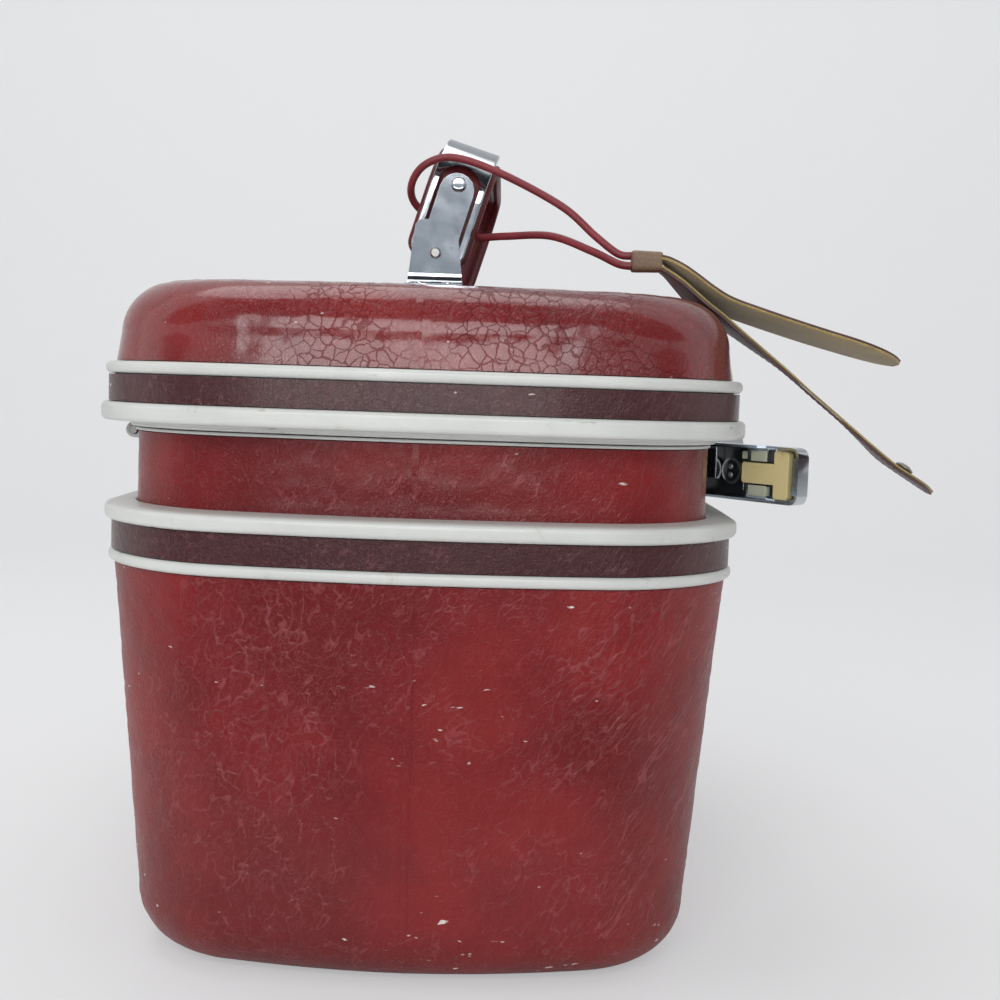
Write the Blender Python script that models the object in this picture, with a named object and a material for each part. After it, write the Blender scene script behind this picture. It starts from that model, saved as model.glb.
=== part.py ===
"""Cosmetic train case with two swinging latches, a swing handle and a leather tag.

Metres, +Z up. The origin is the middle of the flat underside. +X is the front,
where the latches are, and +Y runs along the case's length.
"""

import math

import bmesh
import bpy
from mathutils import Vector

MM = 0.001

# Plan of the case, outside its widest rails
CASE_DEPTH = 232 * MM
CASE_LENGTH = 344 * MM
CORNER_RADIUS = 48 * MM
END_BOW = 14 * MM
SIDE_BOW = 3 * MM

# Heights above the flat underside
BASE_RIM_Z = 143 * MM
BASE_FRAME_HEIGHT = 21.5 * MM
RECESS_HEIGHT = 28.5 * MM
LID_FRAME_HEIGHT = 20.6 * MM
LID_SHELL_HEIGHT = 32 * MM

# Walls and clearances
GAP = 0.3 * MM
SHELL_WALL = 2.5 * MM
LINING_WALL = 1.2 * MM
LINING_GAP = 0.5 * MM

# Insets from the widest outline
SHELL_INSET = 3.6 * MM
BASE_TAPER = 9.8 * MM
BASE_FOOT_RADIUS = 22 * MM
THIN_RAIL_INSET = 1.5 * MM
BAND_INSET = 2.4 * MM
BAND_THICKNESS = 2.2 * MM
COLLAR_INSET = 11.2 * MM
COLLAR_WALL = 2.5 * MM
COLLAR_DEPTH_BELOW_FRAME = 10 * MM
LID_OVERSIZE = 1.4 * MM
FLANGE_INSET = 8.5 * MM
LID_SHOULDER_RADIUS = 19 * MM
LID_DRAFT = 1.6 * MM
LID_CROWN = 3.2 * MM

# Rails and lips of the two frames
THICK_RAIL = 6.5 * MM
THIN_RAIL = 4.2 * MM
RAIL_ROUND = 1.1 * MM
LIP_HEIGHT = 1.1 * MM
LIP_PROUD = 0.8 * MM
PARTING_GAP = 0.4 * MM
FLANGE_HEIGHT = 2 * MM

# Mirror under the lid
MIRROR_LENGTH = 170 * MM
MIRROR_WIDTH = 110 * MM
MIRROR_THICKNESS = 2.5 * MM
MIRROR_CORNER = 12 * MM
MIRROR_RIM = 5 * MM
MIRROR_RIM_HEIGHT = 4 * MM

# Back hinges
HINGE_SPACING = 150 * MM
HINGE_LENGTH = 45 * MM
KNUCKLE_RADIUS = 3 * MM
HINGE_PIN_RADIUS = 1.2 * MM
HINGE_STANDOFF = 5.2 * MM
HINGE_DROP = 4.5 * MM
LEAF_THICKNESS = 1.6 * MM
LEAF_HEIGHT = 16 * MM
KNUCKLE_GAP = 0.4 * MM
SCREW_RADIUS = 2.2 * MM
SCREW_HEAD = 0.9 * MM

# Latches
LATCH_OFFSET = 61 * MM
LATCH_LENGTH = 60 * MM
LATCH_HEIGHT = 22.6 * MM
LATCH_RISE = 2 * MM
LATCH_PAN_DEPTH = 7 * MM
LATCH_WALL = 1 * MM
LATCH_CORNER = 4 * MM
LATCH_PLATE = 1.1 * MM
LATCH_BARREL_RADIUS = 2.3 * MM
LATCH_PIN_RADIUS = 1 * MM
LATCH_EAR = 1.1 * MM
LATCH_OPEN_DEG = 37
KEEPER_WIDTH = 8 * MM
KEEPER_THICKNESS = 1.4 * MM
KEEPER_DROP = 8.5 * MM
KEEPER_REACH = 43 * MM
KEEPER_NOTCH_CLEARANCE = 1.2 * MM
SLIDE_STEM_LENGTH = 17.2 * MM
SLIDE_STEM_WIDTH = 8.4 * MM
SLIDE_HEAD_LENGTH = 7.6 * MM
SLIDE_THICKNESS = 3.2 * MM
SLIDE_TRAVEL = 3 * MM
PAN_END_WALL = 3.4 * MM
GUIDE_HEIGHT = 2.6 * MM
LOCK_RADIUS = 3.4 * MM
LOCK_FLANGE_RADIUS = 5.4 * MM
LOCK_CAM_THICKNESS = 1.4 * MM
LOCK_DOT_RADIUS = 1.1 * MM
LOCK_DOT_HEIGHT = 0.5 * MM
KEY_SLOT_WIDTH = 0.9 * MM
SLIDE_EDGE = 0.8 * MM

# Handle
HANDLE_LENGTH = 141 * MM
HANDLE_WIDTH = 25 * MM
HANDLE_RISE = 47 * MM
HANDLE_BEND_RADIUS = 24 * MM
HANDLE_THICKNESS = 8.5 * MM
HANDLE_LEAN_DEG = 17
HANDLE_PIVOT_HEIGHT = 14.3 * MM
CAP_THICKNESS = 2.2 * MM
CAP_MARGIN = 1.8 * MM
LEG_END = 3 * MM
LEG_CORNER = 6 * MM
WINDOW_WIDTH = 16.6 * MM
WINDOW_HEIGHT = 36 * MM
WINDOW_DEPTH = 4.2 * MM
LINK_WIDTH = 13.8 * MM
LINK_HEIGHT = 32.5 * MM
LINK_THICKNESS = 1.5 * MM
RIVET_HEIGHT = 28 * MM
RIVET_RADIUS = 3 * MM
RIVET_HEAD = 0.9 * MM
HANDLE_PIN_RADIUS = 1.6 * MM
FOOT_WIDTH = 21.5 * MM
FOOT_TOP_WIDTH = 16.5 * MM
FOOT_HEIGHT = 27 * MM
FOOT_PLATE = 1.6 * MM
FOOT_FLANGE_LENGTH = 13 * MM
FOOT_FLANGE_HEIGHT = 1.3 * MM
FOOT_CORNER = 2.4 * MM
FOOT_FILLET = 5 * MM
LEATHER_ROUND = 1.4 * MM
CAP_TURN = math.radians(80)

# Luggage tag; the routes are places along the leaves and the cord
CORD_RADIUS = 1.5 * MM
TAG_WIDTH = 36 * MM
TAG_THICKNESS = 1.8 * MM
TAG_Y = -94 * MM
CLASP_X = 84 * MM
CLASP_Z = 257.5 * MM
CLASP_LENGTH = 9 * MM
CLASP_WIDTH = 10 * MM
CLASP_HEIGHT = 8.4 * MM
CLASP_ROUND = 1 * MM
SNAP_RADIUS = 3.6 * MM
SNAP_HEIGHT = 1.6 * MM
LOWER_LEAF_PLACES = (
    (84.8 * MM, 255.4 * MM, 0.26, 0),
    (88 * MM, 253.5 * MM, 0.4, 0),
    (92.5 * MM, 249.8 * MM, 0.7, 0),
    (97 * MM, 245.6 * MM, 0.9, 0),
    (102 * MM, 241.2 * MM, 1, 0),
    (108 * MM, 237.2 * MM, 1, -1),
    (115 * MM, 232.2 * MM, 1, -3),
    (124 * MM, 225.8 * MM, 1, -5),
    (133 * MM, 219.4 * MM, 1, -7),
    (141 * MM, 213 * MM, 1, -8),
    (149 * MM, 206.6 * MM, 1, -8),
    (157 * MM, 200.2 * MM, 1, -8),
    (165 * MM, 193.4 * MM, 1, -7),
    (173.5 * MM, 186.2 * MM, 0.97, -5),
    (180 * MM, 182 * MM, 0.84, -4),
    (186.5 * MM, 178 * MM, 0.6, -3),
    (191 * MM, 174.8 * MM, 0.22, -3),
)
UPPER_LEAF_PLACES = (
    (84.6 * MM, 259.1 * MM, 0.26, 1),
    (88 * MM, 258 * MM, 0.4, 2),
    (92.5 * MM, 254.8 * MM, 0.7, 3),
    (97 * MM, 250.8 * MM, 0.9, 4),
    (103 * MM, 246.2 * MM, 1, 4),
    (110 * MM, 242.4 * MM, 1, 4),
    (121 * MM, 238.8 * MM, 1, 4),
    (133 * MM, 235.2 * MM, 1, 4),
    (145 * MM, 231.8 * MM, 1, 4),
    (157 * MM, 228.6 * MM, 0.97, 4),
    (166 * MM, 226 * MM, 0.82, 4),
    (172 * MM, 224.1 * MM, 0.58, 4),
    (176 * MM, 222.8 * MM, 0.22, 4),
)
SNAP_PLACE = 14
CORD_ROUTE = (
    (74.6, -92.2, 259.7),
    (69.5, -91.8, 260.4),
    (61, -88.6, 267),
    (48, -84, 278.3),
    (24, -76, 291.2),
    (6.1, -72.6, 297),
    (-4.5, -71.4, 294.5),
    (-10, -68.5, 288),
    (-10, -62, 281.5),
    (-3.5, -57.6, 275.5),
    (6, -56.6, 270.5),
    (15.5, -58.6, 268.2),
    (27, -66, 268.2),
    (44.5, -78, 267.6),
    (60, -88.4, 261.3),
    (69.5, -94.4, 256.4),
    (74.6, -95.8, 255.6),
)
CORD_POINT_SPACING = 4
CORD_BEVEL_STEPS = 2

# Counts of facets
CORNER_STEPS = 6
END_STEPS = 3
SIDE_STEPS = 2
SHOULDER_STEPS = 6
INNER_STEPS = 4
EDGE_STEPS = 3
SECTION_STEPS = 2
ROUND_STEPS = 16
SMALL_ROUND_STEPS = 12
LEG_STEPS = 2
BEND_STEPS = 6
SLOT_STEPS = 8
FILLET_STEPS = 4
CURVE_STEPS = 24

# Shares: the plan's tightest corner, the heights of the lid's crown, places along pieces
MIN_CORNER_SHARE = 0.2
CROWN_SHARES = (0.25, 0.55, 0.85)
LOCK_DOT_SPREAD_SHARE = 1.6
GUIDE_SHARES = (0.5, 0.68)
HINGE_SCREW_SHARES = (-0.36, 0.36)
LOCK_SHARE = 0.3
CORNER_SHARES = (0, 0.08, 0.3, 0.6, 1)
GRIP_SHARES = (0.8, 0.55, 0.28, 0)
GRIP_SWELL_SHARES = (1.12, 1.24, 1.3, 1.32)

# Finishes: colour, roughness, metallic
RED_VINYL = ((0.30, 0.02, 0.025), 0.45)
DARK_VINYL = ((0.075, 0.02, 0.03), 0.45)
GREY_PLASTIC = ((0.62, 0.64, 0.63), 0.4)
LINING_CLOTH = ((0.45, 0.12, 0.12), 0.8)
CHROME = ((0.8, 0.8, 0.82), 0.12, 1.0)
STEEL = ((0.55, 0.55, 0.56), 0.3, 1.0)
NYLON = ((0.78, 0.66, 0.36), 0.4)
SILVER_GLASS = ((0.8, 0.82, 0.83), 0.03, 1.0)
GRIP_LEATHER = ((0.2, 0.035, 0.04), 0.5)
CORD_RED = ((0.25, 0.03, 0.04), 0.5)
SUEDE = ((0.35, 0.27, 0.13), 0.8)
TAG_LEATHER = ((0.16, 0.08, 0.06), 0.55)

# Values worked out from the sizes above
HALF_X = CASE_DEPTH / 2
HALF_Y = CASE_LENGTH / 2
BASE_TOP_Z = BASE_RIM_Z + BASE_FRAME_HEIGHT
LID_BOTTOM_Z = BASE_TOP_Z + RECESS_HEIGHT
LID_FRAME_TOP_Z = LID_BOTTOM_Z + LID_FRAME_HEIGHT
LID_TOP_Z = LID_FRAME_TOP_Z + GAP + LID_SHELL_HEIGHT
FLANGE_BOTTOM_Z = LID_BOTTOM_Z - FLANGE_HEIGHT
COLLAR_TOP_Z = FLANGE_BOTTOM_Z - PARTING_GAP - LIP_HEIGHT - GAP
COLLAR_X = HALF_X - COLLAR_INSET
FRAME_INNER_INSET = COLLAR_INSET - GAP


def clear_scene():
    for item in list(bpy.data.objects):
        bpy.data.objects.remove(item, do_unlink=True)


def material(name, colour, roughness, metallic=0.0):
    made = bpy.data.materials.new(name)
    made.use_nodes = True
    shader = made.node_tree.nodes["Principled BSDF"]
    shader.inputs["Base Color"].default_value = (*colour, 1.0)
    shader.inputs["Roughness"].default_value = roughness
    shader.inputs["Metallic"].default_value = metallic
    return made


def add_object(name, mesh_data, finish, parent=None, smooth_deg=35):
    """Turn a bmesh into a named object with its faces pointing out."""
    bmesh.ops.recalc_face_normals(mesh_data, faces=mesh_data.faces)
    if mesh_data.calc_volume(signed=True) < 0:
        bmesh.ops.reverse_faces(mesh_data, faces=mesh_data.faces)
    mesh = bpy.data.meshes.new(name)
    mesh_data.to_mesh(mesh)
    mesh_data.free()
    mesh.shade_smooth()
    mesh.set_sharp_from_angle(angle=math.radians(smooth_deg))
    made = bpy.data.objects.new(name, mesh)
    bpy.context.collection.objects.link(made)
    mesh.materials.append(material(name, *finish))
    made.parent = parent
    return made


def add_empty(name, place, turn=(0, 0, 0)):
    made = bpy.data.objects.new(name, None)
    made.location = place
    made.rotation_euler = turn
    bpy.context.collection.objects.link(made)
    return made


def apply_boolean(target, cutter_data, operation):
    """Join or cut a finished bmesh shape into an object, and keep it as a modifier."""
    bmesh.ops.recalc_face_normals(cutter_data, faces=cutter_data.faces)
    if cutter_data.calc_volume(signed=True) < 0:
        bmesh.ops.reverse_faces(cutter_data, faces=cutter_data.faces)
    mesh = bpy.data.meshes.new(target.name + "_cutter")
    cutter_data.to_mesh(mesh)
    cutter_data.free()
    cutter = bpy.data.objects.new(mesh.name, mesh)
    bpy.context.collection.objects.link(cutter)
    cutter.parent = target.parent
    cutter.hide_render = True
    cutter.display_type = "WIRE"
    step = target.modifiers.new(operation.lower(), "BOOLEAN")
    step.operation = operation
    step.solver = "EXACT"
    step.object = cutter


def plan_outline(inset):
    """Points of the case's bowed, round-cornered plan, inset from the widest rail."""
    half_x = HALF_X - inset
    half_y = HALF_Y - inset
    radius = max(CORNER_RADIUS - inset, half_x * MIN_CORNER_SHARE)
    quarter = []
    for step in range(SIDE_STEPS):
        quarter.append((half_x, (half_y - radius) * step / SIDE_STEPS))
    for step in range(CORNER_STEPS + 1):
        turn = math.pi / 2 * step / CORNER_STEPS
        x = half_x - radius + radius * math.cos(turn)
        quarter.append((x, half_y - radius + radius * math.sin(turn)))
    for step in range(1, END_STEPS):
        quarter.append(((half_x - radius) * (1 - step / END_STEPS), half_y))
    bowed = []
    for x, y in quarter:
        along = y / half_y
        across = x / half_x
        bowed.append((x - SIDE_BOW * along * along * along, y - END_BOW * across * across * along))
    points = list(bowed)
    points.append((0, half_y))
    points += [(-x, y) for x, y in reversed(bowed)][:-1]
    points += [(-x, -y) for x, y in bowed]
    points.append((0, -half_y))
    points += [(x, -y) for x, y in reversed(bowed)][:-1]
    return points


def plan_ring(inset, z):
    return [Vector((x, y, z)) for x, y in plan_outline(inset)]


def loft(rings, closed=False):
    """Skin a list of rings; the ends are capped unless the loft closes on itself."""
    made = bmesh.new()
    rows = [[made.verts.new(point) for point in ring] for ring in rings]
    count = len(rings[0])
    last = len(rows) if closed else len(rows) - 1
    for row in range(last):
        lower = rows[row]
        upper = rows[(row + 1) % len(rows)]
        for i in range(count):
            j = (i + 1) % count
            made.faces.new((lower[i], lower[j], upper[j], upper[i]))
    if not closed:
        made.faces.new(rows[0])
        made.faces.new(list(reversed(rows[-1])))
    return made


def plan_solid(profile, closed=True):
    """Sweep a profile of (inset, z) points round the plan of the case."""
    return loft([plan_ring(inset, z) for inset, z in profile], closed)


def box(low, high):
    (x0, y0, z0), (x1, y1, z1) = low, high
    plan = ((x0, y0), (x1, y0), (x1, y1), (x0, y1))
    return loft([[Vector((x, y, z)) for x, y in plan] for z in (z0, z1)])


def rounded_rectangle(half_u, half_v, radius, steps):
    corners = ((1, 1, 0), (-1, 1, 1), (-1, -1, 2), (1, -1, 3))
    points = []
    for side_u, side_v, quarter in corners:
        for step in range(steps + 1):
            turn = math.pi / 2 * (quarter + step / steps)
            u = side_u * (half_u - radius) + radius * math.cos(turn)
            v = side_v * (half_v - radius) + radius * math.sin(turn)
            points.append((u, v))
    return points


def rod(start, end, radius, steps=ROUND_STEPS):
    """A round bar between two points."""
    start = Vector(start)
    end = Vector(end)
    turn = (end - start).to_track_quat("Z", "Y")
    rings = []
    for place in (start, end):
        ring = []
        for step in range(steps):
            angle = 2 * math.pi * step / steps
            ring.append(place + turn @ Vector((radius * math.cos(angle), radius * math.sin(angle), 0)))
        rings.append(ring)
    return loft(rings)


def turned(axis_start, axis_end, profile, steps=ROUND_STEPS):
    """A turned piece; the profile lists (distance along the axis, radius)."""
    start = Vector(axis_start)
    direction = (Vector(axis_end) - start).normalized()
    turn = direction.to_track_quat("Z", "Y")
    rings = []
    for along, radius in profile:
        ring = []
        for step in range(steps):
            angle = 2 * math.pi * step / steps
            ring.append(start + turn @ Vector((radius * math.cos(angle), radius * math.sin(angle), along)))
        rings.append(ring)
    return loft(rings)


def sweep(path, section, frame_side, widths=None, depths=None):
    """Carry a section along a path; widths and depths scale it at each step."""
    rings = []
    for i, place in enumerate(path):
        before = path[max(i - 1, 0)]
        after = path[min(i + 1, len(path) - 1)]
        along = (after - before).normalized()
        up = frame_side.cross(along).normalized()
        wide = widths[i] if widths else 1
        deep = depths[i] if depths else 1
        rings.append([place + frame_side * u * wide + up * v * deep for u, v in section])
    return loft(rings)


def foot_line(top_z, top_inset, foot_inset, radius, centre_z, steps):
    """A side line from the flat of the foot, round its radius and up to the rim."""
    centre = foot_inset + radius
    line = []
    for step in range(steps + 1):
        turn = math.pi / 2 * step / steps
        line.append((centre - radius * math.sin(turn), centre_z - radius * math.cos(turn)))
    line.append((top_inset, top_z))
    return line


def shell_profile(top_z, top_inset, foot_inset, radius, bottom_z, wall, steps):
    """Outer and inner line of the tapering base, from the foot's flat up and back down."""
    centre_z = bottom_z + radius
    outer = foot_line(top_z, top_inset, foot_inset, radius, centre_z, steps)
    inner = foot_line(top_z, top_inset + wall, foot_inset + wall, radius - wall, centre_z, INNER_STEPS)
    return outer + list(reversed(inner))


def build_base():
    shell_top = BASE_RIM_Z - GAP
    foot_inset = SHELL_INSET + BASE_TAPER
    radius = BASE_FOOT_RADIUS
    profile = shell_profile(shell_top, SHELL_INSET, foot_inset, radius, 0, SHELL_WALL, SHOULDER_STEPS)
    add_object("base_shell", plan_solid(profile, closed=False), RED_VINYL)

    thick_bottom = BASE_TOP_Z - THICK_RAIL
    thin_top = BASE_RIM_Z + THIN_RAIL
    web = BAND_INSET + BAND_THICKNESS + GAP
    frame = [
        (THIN_RAIL_INSET + RAIL_ROUND, BASE_RIM_Z),
        (THIN_RAIL_INSET, BASE_RIM_Z + RAIL_ROUND),
        (THIN_RAIL_INSET, thin_top - RAIL_ROUND),
        (THIN_RAIL_INSET + RAIL_ROUND, thin_top),
        (web, thin_top),
        (web, thick_bottom),
        (RAIL_ROUND, thick_bottom),
        (0, thick_bottom + RAIL_ROUND),
        (0, BASE_TOP_Z - 2 * RAIL_ROUND),
        (RAIL_ROUND / 2, BASE_TOP_Z - RAIL_ROUND),
        (2 * RAIL_ROUND, BASE_TOP_Z - RAIL_ROUND / 2),
        (FRAME_INNER_INSET, BASE_TOP_Z),
        (FRAME_INNER_INSET, BASE_RIM_Z),
    ]
    add_object("base_frame", plan_solid(frame), GREY_PLASTIC)

    band = band_profile(BAND_INSET, thin_top + GAP, thick_bottom - GAP)
    add_object("base_band", plan_solid(band), DARK_VINYL)

    collar_bottom = BASE_RIM_Z - COLLAR_DEPTH_BELOW_FRAME
    inner = COLLAR_INSET + COLLAR_WALL
    collar = [
        (COLLAR_INSET, collar_bottom),
        (COLLAR_INSET, COLLAR_TOP_Z),
        (inner, COLLAR_TOP_Z),
        (inner, collar_bottom),
    ]
    add_object("recess_collar", plan_solid(collar), RED_VINYL)

    lip_bottom = COLLAR_TOP_Z + GAP
    lip_top = lip_bottom + LIP_HEIGHT
    lip_outer = COLLAR_INSET - LIP_PROUD
    lip = [
        (lip_outer, lip_bottom),
        (lip_outer, lip_top - LIP_HEIGHT / 3),
        (lip_outer + LIP_HEIGHT / 3, lip_top),
        (inner, lip_top),
        (inner, lip_bottom),
    ]
    add_object("collar_lip", plan_solid(lip), GREY_PLASTIC)

    lining_top = COLLAR_TOP_Z - LIP_HEIGHT
    lining_top_inset = inner + LINING_GAP
    lining_foot_inset = foot_inset + SHELL_WALL + LINING_GAP
    radius = BASE_FOOT_RADIUS - SHELL_WALL - LINING_GAP
    floor_z = SHELL_WALL + LINING_GAP
    lining = shell_profile(
        lining_top, lining_top_inset, lining_foot_inset, radius, floor_z, LINING_WALL, INNER_STEPS
    )
    add_object("base_lining", plan_solid(lining, closed=False), LINING_CLOTH)


def band_profile(outer, bottom, top):
    inner = outer + BAND_THICKNESS
    return [(outer, bottom), (outer, top), (inner, top), (inner, bottom)]


def lid_dome(shell_inset, bottom_z, top_z, radius, crown, steps):
    """Side wall, shoulder and gently crowned top of the lid, out to its middle."""
    wall_top = top_z - crown - radius
    rings = [(shell_inset, bottom_z), (shell_inset + LID_DRAFT, wall_top)]
    shoulder = shell_inset + LID_DRAFT + radius
    for step in range(1, steps + 1):
        turn = math.pi / 2 * step / steps
        rings.append((shoulder - radius * math.cos(turn), wall_top + radius * math.sin(turn)))
    for share in CROWN_SHARES:
        rings.append((shoulder + (HALF_X - shoulder) * share, top_z - crown * (1 - share) ** 2))
    return rings


def build_lid():
    over = -LID_OVERSIZE
    thick_top = LID_BOTTOM_Z + THICK_RAIL
    thin_bottom = LID_FRAME_TOP_Z - THIN_RAIL
    thin_outer = over + THIN_RAIL_INSET
    band_outer = over + BAND_INSET
    web = band_outer + BAND_THICKNESS + GAP
    inner = COLLAR_INSET + COLLAR_WALL
    frame = [
        (over + RAIL_ROUND, LID_BOTTOM_Z),
        (over, LID_BOTTOM_Z + RAIL_ROUND),
        (over, thick_top - RAIL_ROUND),
        (over + RAIL_ROUND, thick_top),
        (web, thick_top),
        (web, thin_bottom),
        (thin_outer + RAIL_ROUND, thin_bottom),
        (thin_outer, thin_bottom + RAIL_ROUND),
        (thin_outer, LID_FRAME_TOP_Z - RAIL_ROUND),
        (thin_outer + RAIL_ROUND, LID_FRAME_TOP_Z),
        (FRAME_INNER_INSET, LID_FRAME_TOP_Z),
        (FRAME_INNER_INSET, LID_BOTTOM_Z + THIN_RAIL / 2),
        (inner, LID_BOTTOM_Z),
        (inner, FLANGE_BOTTOM_Z),
        (FLANGE_INSET, FLANGE_BOTTOM_Z),
        (FLANGE_INSET, LID_BOTTOM_Z),
    ]
    add_object("lid_frame", plan_solid(frame), GREY_PLASTIC)
    band = band_profile(band_outer, thick_top + GAP, thin_bottom - GAP)
    add_object("lid_band", plan_solid(band), DARK_VINYL)

    bottom = LID_FRAME_TOP_Z + GAP
    top = LID_TOP_Z
    radius = LID_SHOULDER_RADIUS
    outer = lid_dome(SHELL_INSET, bottom, top, radius, LID_CROWN, SHOULDER_STEPS)
    top -= SHELL_WALL
    radius -= SHELL_WALL
    inside = lid_dome(SHELL_INSET + SHELL_WALL, bottom, top, radius, LID_CROWN, INNER_STEPS)
    add_object("lid_shell", plan_solid(list(reversed(outer)) + inside, closed=False), RED_VINYL)

    inset = FRAME_INNER_INSET + LINING_GAP
    bottom = LID_BOTTOM_Z + THIN_RAIL
    top -= LINING_GAP
    radius -= LINING_GAP
    outer = lid_dome(inset, bottom, top, radius, LID_CROWN, INNER_STEPS)
    top -= LINING_WALL
    radius -= LINING_WALL
    inside = lid_dome(inset + LINING_WALL, bottom, top, radius, LID_CROWN, INNER_STEPS)
    add_object("lid_lining", plan_solid(list(reversed(outer)) + inside, closed=False), LINING_CLOTH)


def build_mirror():
    """Glass in a raised rim under the lid's lining."""
    ceiling = LID_TOP_Z - SHELL_WALL - LINING_GAP - LINING_WALL - LID_CROWN / 2 - GAP
    half_x = MIRROR_WIDTH / 2
    half_y = MIRROR_LENGTH / 2
    glass_top = ceiling - GAP
    glass = []
    for z in (glass_top - MIRROR_THICKNESS, glass_top):
        outline = rounded_rectangle(half_x - GAP, half_y - GAP, MIRROR_CORNER - GAP, EDGE_STEPS)
        glass.append([Vector((x, y, z)) for x, y in outline])
    add_object("lid_mirror", loft(glass), SILVER_GLASS)
    rim = []
    ledge = MIRROR_RIM / 2
    bottom = ceiling - MIRROR_RIM_HEIGHT
    under_glass = glass_top - MIRROR_THICKNESS - GAP
    rim_line = (
        (0, ceiling),
        (MIRROR_RIM, ceiling),
        (MIRROR_RIM - GAP, bottom),
        (-ledge, bottom),
        (-ledge, under_glass),
        (0, under_glass),
    )
    for grow, z in rim_line:
        outline = rounded_rectangle(half_x + grow, half_y + grow, MIRROR_CORNER + grow, EDGE_STEPS)
        rim.append([Vector((x, y, z)) for x, y in outline])
    add_object("mirror_rim", loft(rim, closed=True), GREY_PLASTIC)


def side_name(side):
    return "near" if side < 0 else "far"


def add_screw(name, seat, outward, finish):
    line = [(0, SCREW_RADIUS), (SCREW_HEAD / 2, SCREW_RADIUS), (SCREW_HEAD, SCREW_RADIUS / 2)]
    add_object(name, turned(seat, outward, line, SMALL_ROUND_STEPS), finish)


def build_hinges():
    """Two back hinges in the recess, each with two base knuckles round one lid knuckle."""
    axis_x = -(COLLAR_X + HINGE_STANDOFF)
    axis_z = LID_BOTTOM_Z - HINGE_DROP
    leaf_x = -(COLLAR_X + GAP)
    third = HINGE_LENGTH / 3
    leaf_top = axis_z - KNUCKLE_RADIUS / 2
    plate_top = LID_BOTTOM_Z - GAP
    plate_bottom = plate_top - LEAF_THICKNESS / 2
    bore = HINGE_PIN_RADIUS + GAP
    for side in (-1, 1):
        middle = side * HINGE_SPACING / 2
        start = middle - HINGE_LENGTH / 2
        end = middle + HINGE_LENGTH / 2
        leaf = box((leaf_x - LEAF_THICKNESS, start, leaf_top - LEAF_HEIGHT), (leaf_x, end, leaf_top))
        base_leaf = add_object("hinge_base_leaf_" + side_name(side), leaf, STEEL)
        for low, high in ((start, start + third - KNUCKLE_GAP), (end - third + KNUCKLE_GAP, end)):
            tongue_low = axis_z - KNUCKLE_RADIUS
            tongue = box((axis_x, low, tongue_low), (leaf_x - GAP, high, leaf_top - GAP))
            apply_boolean(base_leaf, tongue, "UNION")
            knuckle = rod((axis_x, low, axis_z), (axis_x, high, axis_z), KNUCKLE_RADIUS)
            apply_boolean(base_leaf, knuckle, "UNION")
        drill = rod((axis_x, start - LEAF_HEIGHT, axis_z), (axis_x, end + LEAF_HEIGHT, axis_z), bore)
        apply_boolean(base_leaf, drill, "DIFFERENCE")

        inner_x = -(COLLAR_X + KNUCKLE_RADIUS)
        plate = box((-(HALF_X - RAIL_ROUND), start, plate_bottom), (inner_x, end, plate_top))
        lid_leaf = add_object("hinge_lid_leaf_" + side_name(side), plate, STEEL)
        low = start + third
        high = end - third
        half_web = KNUCKLE_RADIUS / 2
        web = box((axis_x - half_web, low, axis_z), (axis_x + half_web, high, plate_bottom + GAP))
        apply_boolean(lid_leaf, web, "UNION")
        knuckle = rod((axis_x, low, axis_z), (axis_x, high, axis_z), KNUCKLE_RADIUS)
        apply_boolean(lid_leaf, knuckle, "UNION")
        drill = rod((axis_x, start - LEAF_HEIGHT, axis_z), (axis_x, end + LEAF_HEIGHT, axis_z), bore)
        apply_boolean(lid_leaf, drill, "DIFFERENCE")

        pin_line = [
            (0, bore),
            (SCREW_HEAD / 2, bore + GAP),
            (SCREW_HEAD, bore + GAP),
            (SCREW_HEAD, HINGE_PIN_RADIUS),
            (HINGE_LENGTH + SCREW_HEAD + GAP, HINGE_PIN_RADIUS),
        ]
        pin = turned((axis_x, start - SCREW_HEAD - GAP, axis_z), (axis_x, end, axis_z), pin_line)
        add_object("hinge_pin_" + side_name(side), pin, STEEL)

        head_x = leaf_x - LEAF_THICKNESS - GAP
        for number, share in enumerate(HINGE_SCREW_SHARES, start=1):
            place = Vector((head_x, middle + share * HINGE_LENGTH, leaf_top - LEAF_HEIGHT / 2))
            name = "hinge_screw_" + side_name(side) + "_" + str(number)
            add_screw(name, place, place - Vector((SCREW_HEAD, 0, 0)), STEEL)


def extrude(outline, start, end, place):
    """A flat outline given depth; place turns (u, v, depth) into a point."""
    return loft([[place(u, v, depth) for u, v in outline] for depth in (start, end)])


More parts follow.
